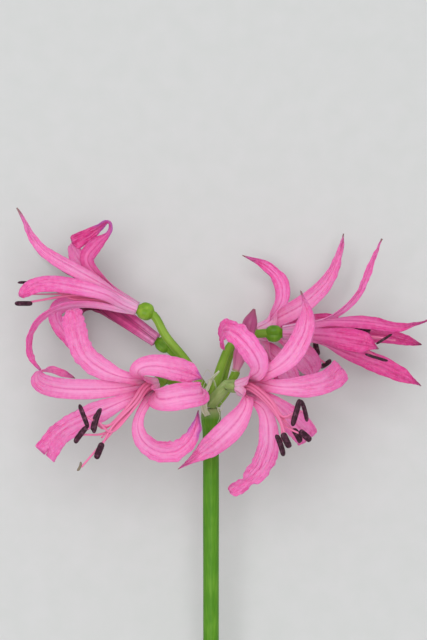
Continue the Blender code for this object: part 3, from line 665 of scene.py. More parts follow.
def pedicel(name, node, ring_angle, route, end, axis, radius, material):
    """A flower's stalk, from its foot on the scape to just under its ovary."""
    ring = PEDICEL_RING_RADIUS if ring_angle is not None else 0
    turned = math.radians(ring_angle or 0)
    foot = Vector((ring * math.cos(turned), SEAT_GAP, ring * math.sin(turned)))
    rows = [foot, foot + Vector((0, PEDICEL_RISE, 0)), *map(Vector, route),
            end - axis * PEDICEL_LEAD, end]
    picked, length = smooth_rows(rows, PEDICEL_STATIONS)

    def outline(v, angle):
        swell = PEDICEL_FOOT_SHARE + (1 - PEDICEL_FOOT_SHARE) * ease(v, 0.0, 0.12)
        swell += PEDICEL_FLARE * ease(v, 0.85, 1.0)
        ribbed = 1 + PEDICEL_RIB_DEPTH * math.cos(PEDICEL_RIBS * angle)
        stout = 1 + PEDICEL_TAPER * (1 - v)
        uneven = 1 + PEDICEL_UNEVEN_SHARE * wave(v * length, PEDICEL_WAVE, ring_angle or 7)
        return radius * swell * stout * ribbed * uneven

    stalk = tube(frames_along(picked, Vector((0, 1, 0))), outline, PEDICEL_SIDES)
    finish_piece(name, stalk, greens[material], "pedicel", node)

# %% [markdown]
# ## Ovary and style
# Under the tepals sits the ovary, a green knob in three lobes with a furrow between each pair.
# Out of its top comes the style, a thread as long as the stamens. The ovary is a tube whose
# outline dips sharply at three angles and whose length is rounded like an apple.

# %% Ovaries and styles
OVARY_LENGTH = 6.4
OVARY_OVERLAP = 0.5
OVARY_STATIONS = 20
OVARY_SIDES = 48
OVARY_FURROW = 0.34
OVARY_ENDS = (0.42, 0.55)
STYLE_RADIUS = 0.4
STYLE_TAPER = 0.25
STYLE_LEAD = 7
STYLE_STATIONS = 40
STIGMA_RADIUS = 0.55
THREAD_SIDES = 10


def ovary(name, node, centre, axis, radius, furrow_at, material):
    """A three-lobed knob along axis; one furrow is furrow_at degrees round from the top."""
    length = OVARY_LENGTH + OVARY_OVERLAP
    frames = frames_along([centre + axis * length * (i / OVARY_STATIONS - 0.5)
                           for i in range(OVARY_STATIONS + 1)])
    top = frames[0].to_3x3().inverted() @ UP
    turned = math.atan2(top.y, top.x) + math.radians(furrow_at)

    def outline(v, angle):
        bulge = (1 - abs(2 * v - 1) ** 2.6) ** 0.5
        dip = 1 - abs(math.sin(1.5 * (angle - turned)))
        return radius * max(OVARY_ENDS[v >= 0.5] * (1 - 0.25 * dip),
                            bulge * (1 - OVARY_FURROW * dip))

    finish_piece(name, tube(frames, outline, OVARY_SIDES), greens[material], "pistil", node)


def style(name, node, route):
    """The thread from the ovary to the stigma, which is its slightly swollen tip."""
    picked, length = smooth_rows(route, STYLE_STATIONS)

    def outline(v, angle):
        from_tip = (1 - v) * length
        return (STYLE_RADIUS * (1 - STYLE_TAPER * v)
                + (STIGMA_RADIUS - STYLE_RADIUS) * (1 - ease(from_tip, 0.2, 1.2)))

    finish_piece(name, tube(frames_along(picked), outline, THREAD_SIDES), thread_skins["style"],
                 "pistil", node)

# %% [markdown]
# ## Stamens
# Six filaments rise in a bundle from the throat and spread towards their ends. On each sits an
# anther, a plum-coloured sac of two lobes with a groove between them, fixed at its middle so that
# it can rock. A filament is a tapered tube. An anther starts as a ball of many faces, drawn out
# long, with a groove pressed along its front and a slight bend like a bean.

# %% Filaments and anthers
FILAMENT_RING_RADIUS = 1.35
FILAMENT_RADIUS = 0.68
FILAMENT_TIP_RADIUS = 0.4
FILAMENT_STATIONS = 34
FILAMENT_SPREADS = (1.0, 1.25)
FILAMENT_UNEVEN = 0.03
FILAMENT_WAVE = 6
ANTHER_WIDTH = 2.7
ANTHER_THICKNESS = 1.9
ANTHER_SINK = 0.3
ANTHER_BLUNTNESS = 0.82
ANTHER_MOST_GIRTH = 2.4
ANTHER_GROOVE = 0.42
ANTHER_GROOVE_WIDTH = 0.3
ANTHER_BACK_GROOVE = 0.6
ANTHER_BEND = 0.9


def anther_seat(one, two, approach):
    """A frame at an anther's middle: X along it, Z the way its filament arrives."""
    along = (two - one).normalized()
    arrive = (approach - along * approach.dot(along)).normalized()
    turn = Matrix((along, arrive.cross(along), arrive)).transposed()
    return Matrix.Translation((one + two) / 2) @ turn.to_4x4()


def anther(seat, length, bend, share, withered):
    """A long two-lobed sac at seat; share is its girth, against a full one's."""
    bm = bmesh.new()
    dryness = bm.verts.layers.float.new("dryness")
    bmesh.ops.create_uvsphere(bm, u_segments=28, v_segments=18, radius=1)
    for vert in bm.verts:
        x, y, z = vert.co.z, vert.co.x, vert.co.y
        girth = min((1 - abs(x) ** 5) ** 0.5 / max(0.05, (1 - x * x) ** 0.5),
                    ANTHER_MOST_GIRTH)
        y, z = y * girth, z * girth
        groove = ANTHER_GROOVE * math.exp(-(y / ANTHER_GROOVE_WIDTH) ** 2) * (1 - abs(x) ** 4)
        z = z - groove if z > 0 else z + ANTHER_BACK_GROOVE * groove
        vert.co = seat @ Vector((math.copysign(abs(x) ** ANTHER_BLUNTNESS, x) * length / 2,
                                 y * ANTHER_WIDTH / 2 * share,
                                 z * ANTHER_THICKNESS / 2 * share - bend * x * x))
        vert[dryness] = float(withered)
    bmesh.ops.recalc_face_normals(bm, faces=bm.faces)
    return bm


def filament(points, seed):
    """A tapered thread through points, waving very slightly."""
    picked, length = smooth_rows(points, FILAMENT_STATIONS)

    def outline(v, angle):
        return (FILAMENT_RADIUS + (FILAMENT_TIP_RADIUS - FILAMENT_RADIUS) * v
                + FILAMENT_UNEVEN * wave(v * length, FILAMENT_WAVE, seed))

    return tube(frames_along(picked), outline, THREAD_SIDES)

# %% [markdown]
# ## Tepals
# A tepal is a strip with a curved section: rolled tightly at its claw, where six of them stand in
# a ring, and open further out. A groove runs down its middle, and its margins wave more and more
# towards the tip, with small teeth. A cloth simulation could ruffle them, but a few waves of
# noise, each with a real wavelength, keep every tepal on its own midline. A Solidify modifier
# gives the strip its thin flesh.

# %% One tepal
TEPAL_THICKNESS = 0.34
TEPAL_ACROSS = 24
TEPAL_ALONG = 120
CLAW_RING_RADII = (2.75, 2.35)
CLAW_WIDTH_SHARES = (1.8, 1.55, 1.4)
CLAW_SWINGS = (0.0, 0.35, 1.0)
CLAW_SOFT_REACH = 8
ROLL_PAST_TUBE = 18
ROLL_LENGTH = 22
BLADE_CURL = 0.55
RIB_GROOVE = 0.25
RIB_HALF_WIDTH = 0.5
TIP_SHARE = 0.04
TIP_TAPER = 0.8
WAVY_FROM = (0.22, 0.7)
ENDING_FROM = (0.72, 1.0)
TEETH_SHARE = 0.22
TEETH_WAVE = 2.3
TEAR_WAVE = 2.6
TEAR_WAVE_ACROSS = 1.6
RUFFLE_WAVE = 7.5
FRILL_WAVE = 3.2
FRILL_SHARE = 0.45
PUCKER_ALONG = 3.4
PUCKER_ACROSS = 5
FOLD_WAVE = 17
FOLD_HEIGHT = 0.3
EDGE_POWER = 2.2
NOTCH_WIDTH = 0.45
OTHER_MARGIN = 3.3
BRUISE_FADE = 0.05

PLAIN_HABIT = {"ruffle": 0.4, "teeth": 0.1, "pucker": 0.2, "tip": 9, "blunt": 0, "pinches": (),
               "jagged": 0, "skew": 0, "notch": 0, "dry": 0.8, "violet": None, "soft": 8}


def soften(rows, claw_reach, blade_reach):
    """Averages each row with its neighbours, with fewer of them towards both ends."""
    last = len(rows) - 1
    soft = []
    for i in range(len(rows)):
        reach = claw_reach + (blade_reach - claw_reach) * ease(i / last, 0.3, 0.55)
        span = min(round(reach), i, last - i)
        near = rows[i - span:i + span + 1]
        soft.append([sum(column) / len(near) for column in zip(*near)])
    return soft


def tepal(name, node, rows, claw_normals, tube_length, seed, material, habit):
    """A wavy strip along rows of (x, y, z, width, turn), all in millimetres.

    A habit overrides how a usual tepal grows: ruffle and pucker are heights, and teeth and
    jagged are shares of the width. A tip this long narrows to its point, or ends round where
    blunt is 1, and may end oblique (skew) or notched. Each pinch is (where, share, reach).
    dry is the length of brown tip, violet the bruised part of the run, and soft how far the
    blade's bends are evened out.
    """
    habit = {**PLAIN_HABIT, **habit}
    guides = []
    for i, (row, tangent) in enumerate(zip(rows, tangents_of(rows))):
        facing = claw_normals[i] if i < len(claw_normals) else turned_up(tangent, row[4])
        guides.append([*row[:4], *facing])
    picked, length = smooth_rows(guides, TEPAL_ALONG + 1)
    picked = soften(picked, CLAW_SOFT_REACH, habit["soft"])
    tangents = tangents_of(picked)
    unrolled = tube_length + ROLL_PAST_TUBE

    def place(u, v):
        station = round(v * TEPAL_ALONG)
        run = v * length
        side = 2 * u - 1
        tangent = tangents[station]
        normal = Vector(picked[station][4:7])
        normal = (normal - tangent * normal.dot(tangent)).normalized()
        width = picked[station][3]
        # The tip narrows to a point, or rounds off where the tepal is blunt.
        left = min(1.0, (length - run) / habit["tip"])
        pointed = left ** TIP_TAPER
        rounded = (1 - (1 - left) ** 2) ** 0.5
        width *= TIP_SHARE + (1 - TIP_SHARE) * (pointed + (rounded - pointed) * habit["blunt"])
        for where, share, reach in habit["pinches"]:
            width *= 1 - share * math.exp(-((run - where * length) / reach) ** 2)
        grown = ease(v, *WAVY_FROM)
        ending = ease(v, *ENDING_FROM)
        margin = seed + (OTHER_MARGIN if side > 0 else 0)
        width *= 1 + grown * habit["teeth"] * TEETH_SHARE * wave(run, TEETH_WAVE, margin)
        width *= 1 + ending * habit["jagged"] * wave(run, TEAR_WAVE, margin + 9)
        # The section is an arc: the claw's follows the ring, the blade's is flatter.
        curl = (1 - ease(run, unrolled - ROLL_LENGTH, unrolled)) / CLAW_RING_RADII[1]
        curl += BLADE_CURL / max(width, 5)
        angle = side * width / 2 * curl
        reach = math.sin(angle) / curl
        lift = (1 - math.cos(angle)) / curl
        ruffle = wave(run, RUFFLE_WAVE, margin + 1)
        ruffle += FRILL_SHARE * wave(run, FRILL_WAVE, margin + 2)
        lift += grown * habit["ruffle"] * abs(side) ** EDGE_POWER * ruffle
        lift += grown * habit["pucker"] * wave(run / PUCKER_ALONG + 11 * seed, 1,
                                               side * width / PUCKER_ACROSS)
        lift += grown * FOLD_HEIGHT * wave(run, FOLD_WAVE, seed + 3.1 * side)
        lift -= RIB_GROOVE * math.exp(-(side * width / 2 / RIB_HALF_WIDTH) ** 2) * ease(v, 0, 0.1)
        short = habit["skew"] * side * width
        short += habit["notch"] * math.exp(-(side / NOTCH_WIDTH) ** 2)
        short += habit["jagged"] * width * wave(side * width, TEAR_WAVE_ACROSS, seed + 5)
        return (Vector(picked[station][:3]) + normal.cross(tangent) * reach + normal * lift
                - tangent * short * ending)

    def bruise(u, v):
        if habit["violet"] is None:
            return 0.0
        first, last = habit["violet"]
        there = ease(v, first - BRUISE_FADE, first) * (1 - ease(v, last, last + BRUISE_FADE))
        return there * ease(abs(2 * u - 1), 0.1, 0.9)

    def dryness(u, v):
        if not habit["dry"]:
            return 0.0
        return 1 - ease((1 - v) * length, 0.3 * habit["dry"], 1.7 * habit["dry"])

    bm = bent_grid(TEPAL_ACROSS, TEPAL_ALONG, place, bruise=bruise, dryness=dryness)
    thicken(finish_piece(name, bm, material, "tepal", node), "flesh", TEPAL_THICKNESS)

# %% [markdown]
# ## A whole floret
# All six florets are put together in the same order: stalk, ovary, the ring of six claws, the
# style and the stamens. The claws share six even places round the floret's axis, in the order in
# which their blades spread, and stand by turns in an outer and an inner whorl.

# %% Floret helpers
PLAIN_FLORET = {
    "stalk_radius": 1.6, "stalk_skin": "waxy_flower_stalk", "furrow_at": 0, "ovary_radius": 3.1,
    "ovary_skin": "glossy_ovary_skin", "anther_girths": {}, "withered": None,
    "claw_radii": CLAW_RING_RADII, "spread": 1.6, "habits": {},
}


def share_ring(places, base, axis):
    """Even places round the axis for six pieces: a direction for each, and their order."""
    first = axis.cross(Vector((0, 1, 0)) if abs(axis.y) < 0.9 else UP).normalized()
    second = axis.cross(first)
    aims = [math.atan2((p - base).dot(second), (p - base).dot(first)) for p in places]
    order = sorted(range(len(aims)), key=lambda i: aims[i])
    step = math.tau / len(aims)
    offsets = [aims[i] - step * k for k, i in enumerate(order)]
    phase = math.atan2(sum(map(math.sin, offsets)), sum(map(math.cos, offsets)))
    angles = [phase + step * order.index(i) for i in range(len(aims))]
    return [first * math.cos(angle) + second * math.sin(angle) for angle in angles], order


def stamens(name, floret, base, lead, axis):
    """Six filaments and their anthers, as two pieces."""
    anthers = [tuple(map(Vector, pair)) for pair in floret["anthers"]]
    outwards, _ = share_ring([(one + two) / 2 for one, two in anthers], base, axis)
    threads = bmesh.new()
    sacs = bmesh.new()
    for i, ((one, two), outward) in enumerate(zip(anthers, outwards)):
        outward = outward * FILAMENT_RING_RADIUS
        foot = base + axis * SEAT_GAP + outward
        bundle = [Vector(p) + outward * spread
                  for p, spread in zip(floret["bundle"], FILAMENT_SPREADS)]
        seat = anther_seat(one, two, (one + two) / 2 - bundle[-1])
        end = seat @ Vector((0, 0, -ANTHER_THICKNESS * ANTHER_SINK))
        join(threads, filament([foot, foot + lead, *bundle, end], i))
        join(sacs, anther(seat, (two - one).length, ANTHER_BEND * wave(i, 1.7, 4),
                          floret["anther_girths"].get(i + 1, 1), i + 1 == floret["withered"]))
    node = f"{name}_stamens"
    finish_piece(f"{name}_filaments", threads, thread_skins["filament"], "stamens", node)
    finish_piece(f"{name}_anthers", sacs, anther_skin, "stamens", node, sharp=60)


def build_floret(name, **floret):
    """One floret: its stalk, ovary, style, stamens and the ring of six tepals.

    Its ovary stands at a place on an axis, and its tube is this long. Routes are listed for the
    pedicel, the bundle of filaments and each tepal's blade, and both ends for each anther. The
    habits and girths are for single pieces, counted from 1.
    """
    floret = {**PLAIN_FLORET, **floret}
    axis = Vector(floret["axis"]).normalized()
    centre = Vector(floret["ovary"])
    base = centre + axis * OVARY_LENGTH / 2
    pistil = f"{name}_pistil"
    pedicel(f"{name}_stalk", f"{name}_pedicel", floret["ring_angle"], floret["pedicel"],
            centre - axis * (OVARY_LENGTH / 2 - STALK_SINK), axis, floret["stalk_radius"],
            floret["stalk_skin"])
    ovary(f"{name}_ovary", pistil, centre, axis, floret["ovary_radius"], floret["furrow_at"],
          floret["ovary_skin"])
    lead = axis * max(floret["tube"], STYLE_LEAD)
    style(f"{name}_style", pistil, [base, base + lead, *floret["bundle"], floret["stigma"]])
    stamens(name, floret, base, lead, axis)
    outwards, order = share_ring([Vector(rows[1][:3]) for rows in floret["tepals"]], base, axis)
    throat = base + axis * floret["tube"]
    middles = (base + axis * SEAT_GAP, base.lerp(throat, 0.5), throat)
    for i, rows in enumerate(floret["tepals"]):
        ring = floret["claw_radii"][order.index(i) % 2]
        # Towards the throat a claw swings round to the side that its blade leaves by.
        aim = Vector(rows[0][:3]) - throat
        aim = (aim - axis * aim.dot(axis)).normalized()
        facings = [(outwards[i] + aim * swing).normalized() for swing in CLAW_SWINGS]
        reaches = (ring, ring + floret["spread"] / 2, ring + floret["spread"])
        claw = [(*(middle + facing * reach), reach * share, 0)
                for middle, facing, reach, share
                in zip(middles, facings, reaches, CLAW_WIDTH_SHARES)]
        habit = {"tone": floret["tone"], **floret["habits"].get(i + 1, {})}
        tepal(f"{name}_petal_{i + 1}", f"{name}_tepal_{i + 1}", claw + rows,
              [-facing for facing in facings], floret["tube"], round(centre.x) * 0.37 + i,
              tepal_skins[habit["tone"]], habit)
    print(name, "floret: stands", round(base.length), "mm from the umbel")

# %% [markdown]
# ## The upper left floret
# This floret faces away to the left, so its tube and the backs of its tepals show. Its third
# tepal makes a loop, folding back on itself near the tip, with a violet edge at the fold.

# %% Upper left floret
build_floret(
    "left_high", ring_angle=210, ovary=(-26.4, 38.4, -8), axis=(-0.94, 0.34, 0), tube=8,
    tone="side", ovary_radius=3.9, furrow_at=38, ovary_skin="fresh_ovary_skin",
    stalk_skin="fresh_flower_stalk", stalk_radius=1.55, anther_girths={1: 0.75, 2: 0.5},
    stigma=(-75, 45.5, -2), bundle=[(-45, 44.5, -8), (-56, 45.5, -6)],
    pedicel=[(-4.5, 10, -3), (-10.4, 19.2, -5), (-18, 28.5, -7), (-21.5, 35, -8)],
    anthers=[((-78.4, 41.8, 2), (-71.2, 41.8, 4)), ((-77.5, 50.4, -2), (-70, 50, -4)),
             ((-69, 47.5, 1), (-62, 48, -0.5)), ((-67, 50.5, -6), (-60, 50.5, -8)),
             ((-66, 48, -5.5), (-59, 48, -7.5)), ((-67, 48, -11), (-60, 48, -12.5))],
    tepals=[
        [(-42, 48.5, -4, 5.5, -150), (-56, 56.3, -2, 6.4, -150), (-66, 62, 0, 5.6, -145),
         (-72, 69, -1, 3.8, -140), (-75, 76, -3, 2.8, -140), (-78, 80, -4, 1.5, -140)],
        [(-40, 46, -14, 5, -20), (-50, 55, -19, 8, -30), (-55, 62, -21, 8, -40),
         (-57, 66, -25, 5, -60), (-55, 67, -30, 2, -80)],
        [(-41.2, 50, -10, 4.6, -55), (-50, 58.3, -12.5, 6.4, -30), (-46.8, 64.8, -13, 8, -38),
         (-41.3, 70, -14, 4, -60), (-40.4, 73, -14.5, 3.5, -70), (-41.8, 75.2, -15, 3.5, -70),
         (-44.8, 73, -15.5, 3.5, -40), (-49, 70, -16, 5, -10), (-56, 66, -16, 6.5, 0)],
        [(-41, 45, 0, 5, -175), (-52, 48.2, 2, 6.5, -170), (-64, 50, 6, 7, -160),
         (-72, 48.5, 8, 6.5, -155), (-76, 44.5, 7, 5, -145)],
        [(-41, 39.5, -6, 5, 120), (-54, 41, -5, 7.5, 110), (-64, 38.5, -5, 8, 105),
         (-72, 31, -8, 8, 105), (-73, 22, -11, 6, 110), (-68.5, 14, -12, 2, 120)],
        [(-42, 41, -12, 5.5, 60), (-54, 42, -15, 8, 50), (-63, 40, -17, 8, 40),
         (-62, 34, -18, 7, 40), (-58, 29, -17, 7, 30), (-52, 22, -15, 5, 30),
         (-48, 17, -14, 2, 20)],
    ],
    habits={
        1: {"tip": 14, "tone": "front", "ruffle": 0.3, "teeth": 0, "dry": 3},
        2: {"tone": "front", "tip": 5, "blunt": 0.5},
        # The loop takes a shaded tone: painted shade.
        3: {"ruffle": 0.2, "tip": 1.5, "blunt": 1, "violet": (0.66, 0.8), "dry": 0,
            "tone": "shaded", "soft": 2},
        4: {"tip": 3.5, "blunt": 1, "ruffle": 0.3, "jagged": 0.08, "dry": 0},
        5: {"ruffle": 0.35, "teeth": 0},
    },
)

# %% [markdown]
# ## The floret behind on the left
# It hangs towards the table in the shade of its neighbours. From above only its nearly closed
# tube shows, with their cast shadow painted dark on it, but it is made as fully as the others.

# %% Back left floret
# Its tone paints its neighbours' shadow on the tube.
build_floret(
    "left_back", ring_angle=270, ovary=(-19.4, 25, -24), axis=(-0.82, 0.56, -0.12), tube=24,
    tone="cast_shadow", spread=1, claw_radii=(2.9, 2.5), stigma=(-60, 48, -33),
    bundle=[(-48, 44.5, -29), (-54, 46.5, -30)], pedicel=[(-3, 8, -9), (-9, 16, -18)],
    anthers=[((-66, 48.8, -31), (-60, 48.5, -30)), ((-63, 47.5, -37), (-57, 46.5, -36)),
             ((-61, 50, -32.5), (-56, 48, -33)), ((-70, 50, -36), (-64.5, 49, -38)),
             ((-61, 50.7, -37), (-56, 49.2, -36.5)), ((-58, 45.5, -35.5), (-53, 44.5, -34.5))],
    tepals=[
        [(-44.2, 47, -28.7, 4, -90), (-54, 53, -30, 5, -70), (-63, 58, -37, 5, -60),
         (-69, 63, -42, 4, -60), (-72, 67, -43.5, 2, -60)],
        [(-48, 40.4, -30.9, 3.2, 0), (-56.5, 46.5, -40, 5, 10), (-66, 50.5, -44.5, 5, 10),
         (-73, 49.5, -45.6, 2, 10)],
        [(-47.8, 42.2, -24, 4, 100), (-57, 41, -29.5, 5, 60), (-63.5, 38.5, -34, 5, 40),
         (-63.5, 31, -36, 5, 30), (-59, 25, -37, 2, 30)],
        [(-49, 40.2, -27.3, 4, 60), (-54.5, 37.5, -36, 5, 40), (-56, 32, -41, 6, 30),
         (-53, 26, -42.3, 5, 30), (-49.5, 20, -42.4, 2, 30)],
        [(-45.2, 45.7, -32.1, 2.6, -60), (-50, 54, -36, 5, -50), (-54, 60.5, -40, 5, -50),
         (-55, 65.5, -43, 2, -50)],
        [(-45.4, 46.1, -24.8, 4, 180), (-55, 46, -24.5, 5, 170), (-63, 48, -26, 4, 160),
         (-68, 48.5, -28, 2, 150)],
    ],
)

# %% [markdown]
# ## The front left floret
# The most open floret, facing up and to the left. Each tepal has its own character: a frayed
# tip on the first, a rolled one on the second, a notched one on the third, and a ring-shaped
# sixth whose inner margin is torn into small teeth.

# %% Front left floret
build_floret(
    "left_front", ring_angle=150, ovary=(-20, 10.8, 16), axis=(-0.6, -0.26, 0.75), tube=5,
    tone="front", ovary_radius=2.9, furrow_at=40, anther_girths={5: 0.6}, withered=5,
    stigma=(-42.5, -10.5, 42.5), bundle=[(-30.5, 2, 34), (-39.5, -7.5, 40)],
    pedicel=[(-6, 6, 4), (-12.6, 9.6, 8)],
    anthers=[((-51.3, 2.4, 40), (-47.7, -6.8, 42)), ((-48.2, -6, 45), (-53.2, -12.5, 43)),
             ((-43.2, 1.2, 44), (-45.9, -8.5, 46)), ((-42.2, -12.5, 42), (-44.8, -18.9, 40)),
             ((-50.4, -20.3, 37), (-51.8, -23.8, 36)), ((-44.6, -1, 38.5), (-46.4, -8, 37.5))],
    tepals=[
        [(-34, 12.5, 26.5, 5, 20), (-42, 15.4, 25, 8.5, 10), (-50, 21.5, 20, 9, 0),
         (-53.5, 31, 14, 9.4, -10), (-55.5, 39.8, 9, 8, -10)],
        [(-36, 8.3, 25.5, 5.5, 0), (-46, 8, 25, 8, 0), (-57, 8, 21, 8, 0), (-65.5, 9.3, 14, 8, 0),
         (-69.8, 12.5, 7, 7, -45), (-67.3, 16, 3, 6.4, -80), (-61, 14.5, 1, 4, -150),
         (-54.4, 12, 0, 1.5, -160)],
        [(-34, 3.6, 28.5, 5, 0), (-44, -1, 26, 9, 10), (-54, -6, 21, 9, 10),
         (-61, -11, 15, 9.3, 10), (-65.8, -18.3, 10, 10, 10)],
        [(-29.2, 14, 30.5, 6, -50), (-27.5, 16.5, 32, 8, -35), (-21.5, 17.3, 33, 9, -18),
         (-14, 15.9, 31, 9.4, -12), (-8, 14.3, 28, 8.6, -12), (-3.2, 12, 25, 3.4, -12)],
        [(-20.6, 4.1, 30, 10.4, 10), (-13, 5.1, 32, 10.8, 0), (-7, 6, 31, 10, 0),
         (-3.4, 6.4, 27.5, 9, 15), (-3.2, 7.5, 23, 6, 60), (-4.6, 9.5, 19.5, 2, 90)],
        [(-26.5, 1, 29, 3.5, 0), (-29, -6, 31, 4.5, 0), (-26.6, -12.8, 29, 7, 0),
         (-19, -17.2, 25, 8.5, 0), (-10.8, -15, 22, 7.5, 0), (-6.2, -8, 21, 4.5, 0),
         (-5, -0.4, 20, 1.5, 0)],
    ],
    habits={
        1: {"jagged": 0.1, "teeth": 0.5, "ruffle": 0.8, "tip": 6, "blunt": 1, "soft": 5,
            "pucker": 0.3, "dry": 0},
        2: {"tip": 5, "ruffle": 0.35, "blunt": 0.6},
        3: {"tip": 0.8, "blunt": 1, "ruffle": 0.8, "teeth": 0.3, "notch": 2.6, "skew": -0.07,
            "dry": 0},
        4: {"ruffle": 0.35, "tip": 6, "violet": (0.94, 1)},
        5: {"ruffle": 0.3, "tip": 4, "blunt": 0.5},
        6: {"ruffle": 0.45, "teeth": 0.5, "jagged": 0.12, "tip": 6, "violet": (0.86, 1)},
    },
)

# %% [markdown]
# ## The front right floret
# It faces straight up from the table, so its tepals spread like a star. The first arches over,
# the fifth is pinched and puckered towards its rounded tip, and the sixth ends in a long point.

# %% Front right floret
build_floret(
    "right_front", ring_angle=90, ovary=(8.5, 9, 14), axis=(0.75, -0.05, 0.66), tube=6,
    tone="front", claw_radii=(3.3, 2.9), ovary_radius=2.8, furrow_at=60,
    ovary_skin="grey_flower_stalk", stalk_skin="grey_flower_stalk", stalk_radius=2.15,
    stigma=(30.5, -6, 42), bundle=[(23, 3, 33), (28, -4, 39)], pedicel=[(2.2, 4.5, 6.6)],
    anthers=[((34.6, 4.5, 42), (31.6, -6, 44)), ((35.4, 4.2, 38), (37.8, -4.4, 37)),
             ((32.3, -7.1, 39), (35.4, -12.6, 37)), ((34.4, -7.8, 43), (38.9, -11.8, 41)),
             ((25.7, -9.2, 41), (28.6, -17.7, 39)), ((27.8, -8.6, 45), (30.6, -14.5, 44))],
    tepals=[
        [(18.9, 14.6, 28, 6.4, 0), (18.6, 18.8, 31, 8.6, 0), (16.2, 23.2, 33, 9, 0),
         (11.4, 28.8, 33, 8.4, 0), (6.3, 31.7, 28, 8.6, 25), (4.4, 29.5, 22.5, 8.5, 80),
         (5, 23.5, 18.5, 4, 120)],
        [(22.5, 14.5, 27, 5.5, 0), (31, 20.8, 29, 8.5, 0), (36.4, 30, 27, 8, -10),
         (37.8, 38.4, 22, 7, -15), (35.4, 46.8, 17, 2, -20)],
        [(26, 9, 27, 5.5, 0), (36, 9, 26, 8.8, 0), (44.5, 10.5, 22, 9, 0),
         (49.5, 13.3, 16, 9.6, 0), (52, 16, 11, 9, 0)],
        [(24, 3.3, 22.5, 5.5, 0), (31.5, -3.5, 20, 10, 0), (36.3, -8.8, 14.5, 10.2, 0),
         (38.6, -12, 9.5, 9, 0)],
        [(20.8, 0.5, 25, 5.5, 0), (22.8, -8.5, 25, 8, 0), (22, -17, 22, 8.6, -10),
         (18, -25, 17, 9, -15), (12.5, -30, 13, 6.5, -20), (7.5, -33.3, 10, 5.4, -20)],
        [(14.3, 2.5, 25, 6, 0), (10, -5, 26, 9.8, 0), (3, -12, 24, 9.6, 0), (-4.5, -18, 17, 7, 0),
         (-13, -24, 11, 2, 0)],
    ],
    habits={
        1: {"ruffle": 0.9, "teeth": 0.6, "tip": 4, "blunt": 0.5, "pucker": 0.3, "tone": "side"},
        2: {"ruffle": 0.35, "tip": 16, "dry": 2},
        3: {"ruffle": 0.5, "tip": 3.2, "blunt": 1, "jagged": 0.05, "skew": -0.14, "dry": 0},
        4: {"ruffle": 0.6, "tip": 1.8, "blunt": 1, "jagged": 0.08, "dry": 0},
        5: {"ruffle": 0.6, "teeth": 0.5, "tip": 2.4, "blunt": 1, "pucker": 0.3,
            "pinches": ((0.84, 0.38, 1.5),), "dry": 0},
        6: {"ruffle": 0.4, "tip": 18, "pucker": 0.25},
    },
)

# %% [markdown]
# ## The upper right floret
# It is seen from the side, with a striped tube beside its ovary and long pointed tepals.

# %% Upper right floret
# Its tepals take a shaded tone: painted shade.
build_floret(
    "right_high", ring_angle=None, ovary=(25.2, 30, -6), axis=(1, 0.02, 0), tube=10, tone="shaded",
    ovary_radius=3.7, furrow_at=20, stalk_skin="fresh_flower_stalk",
    anther_girths={1: 0.55, 2: 0.45}, stigma=(74, 27, -5), bundle=[(42, 30, -5), (54, 29, -4)],
    pedicel=[(1, 6, -0.5), (4, 16, -2), (8, 25, -4), (14, 28.8, -5)],
    anthers=[((66, 25.6, 1), (72.4, 29.6, 1)), ((61.2, 21.6, 9), (70.4, 18.8, 9)),
             ((57, 31.2, -4.5), (64, 31.5, -5.5)), ((57, 25, -6), (64, 24.5, -7)),
             ((57, 30, -9), (64, 30.5, -10)), ((56, 26, -11), (62, 25, -12))],
    tepals=[
        [(46, 34.8, -3, 5.5, 120), (56, 34.8, 0, 7, 130), (66, 34, 1, 6.5, 140),
         (74, 32.3, 0.5, 4.4, 150), (81, 33.3, -1, 2.6, 150), (88, 35.5, -2, 1.6, 150)],
        [(46, 31, -12, 6, 0), (60, 30, -15, 8, 10), (72, 28.8, -17, 6, 20),
         (85.3, 25.2, -20, 3, 20)],
        [(45, 26, -4, 6, -130), (56, 21.5, -1, 7.5, -145), (70, 16, 1, 8, -155),
         (84, 9, 0, 3.6, -155)],
        [(44, 35, -10, 5, 70), (53, 39, -12, 4.2, 62), (60, 47, -13, 4.2, 58),
         (65.5, 59.5, -15, 3.8, 55), (69.2, 68, -16, 1.5, 50)],
        [(45, 29, 1, 7, 180), (54, 27.5, 7, 9.3, 180), (62, 26, 10, 8.4, 170),
         (66.5, 23.6, 11, 3, 160)],
        [(46, 27, -12, 6, -60), (56, 23, -20, 8, -50), (66, 19, -32, 7, -40),
         (75, 15, -42, 2, -40)],
    ],
    habits={
        1: {"tip": 12, "teeth": 0.2},
        2: {"tip": 6, "jagged": 0.1, "dry": 1},
        3: {"tip": 8},
        4: {"tip": 14, "dry": 1.2, "tone": "side"},
        5: {"tip": 6},
        6: {"tip": 10},
    },
)

# %% [markdown]
# ## The floret behind on the right
# Like the one on the left, it lies in its neighbours' shade. Two of its tepals rise high above
# the others.

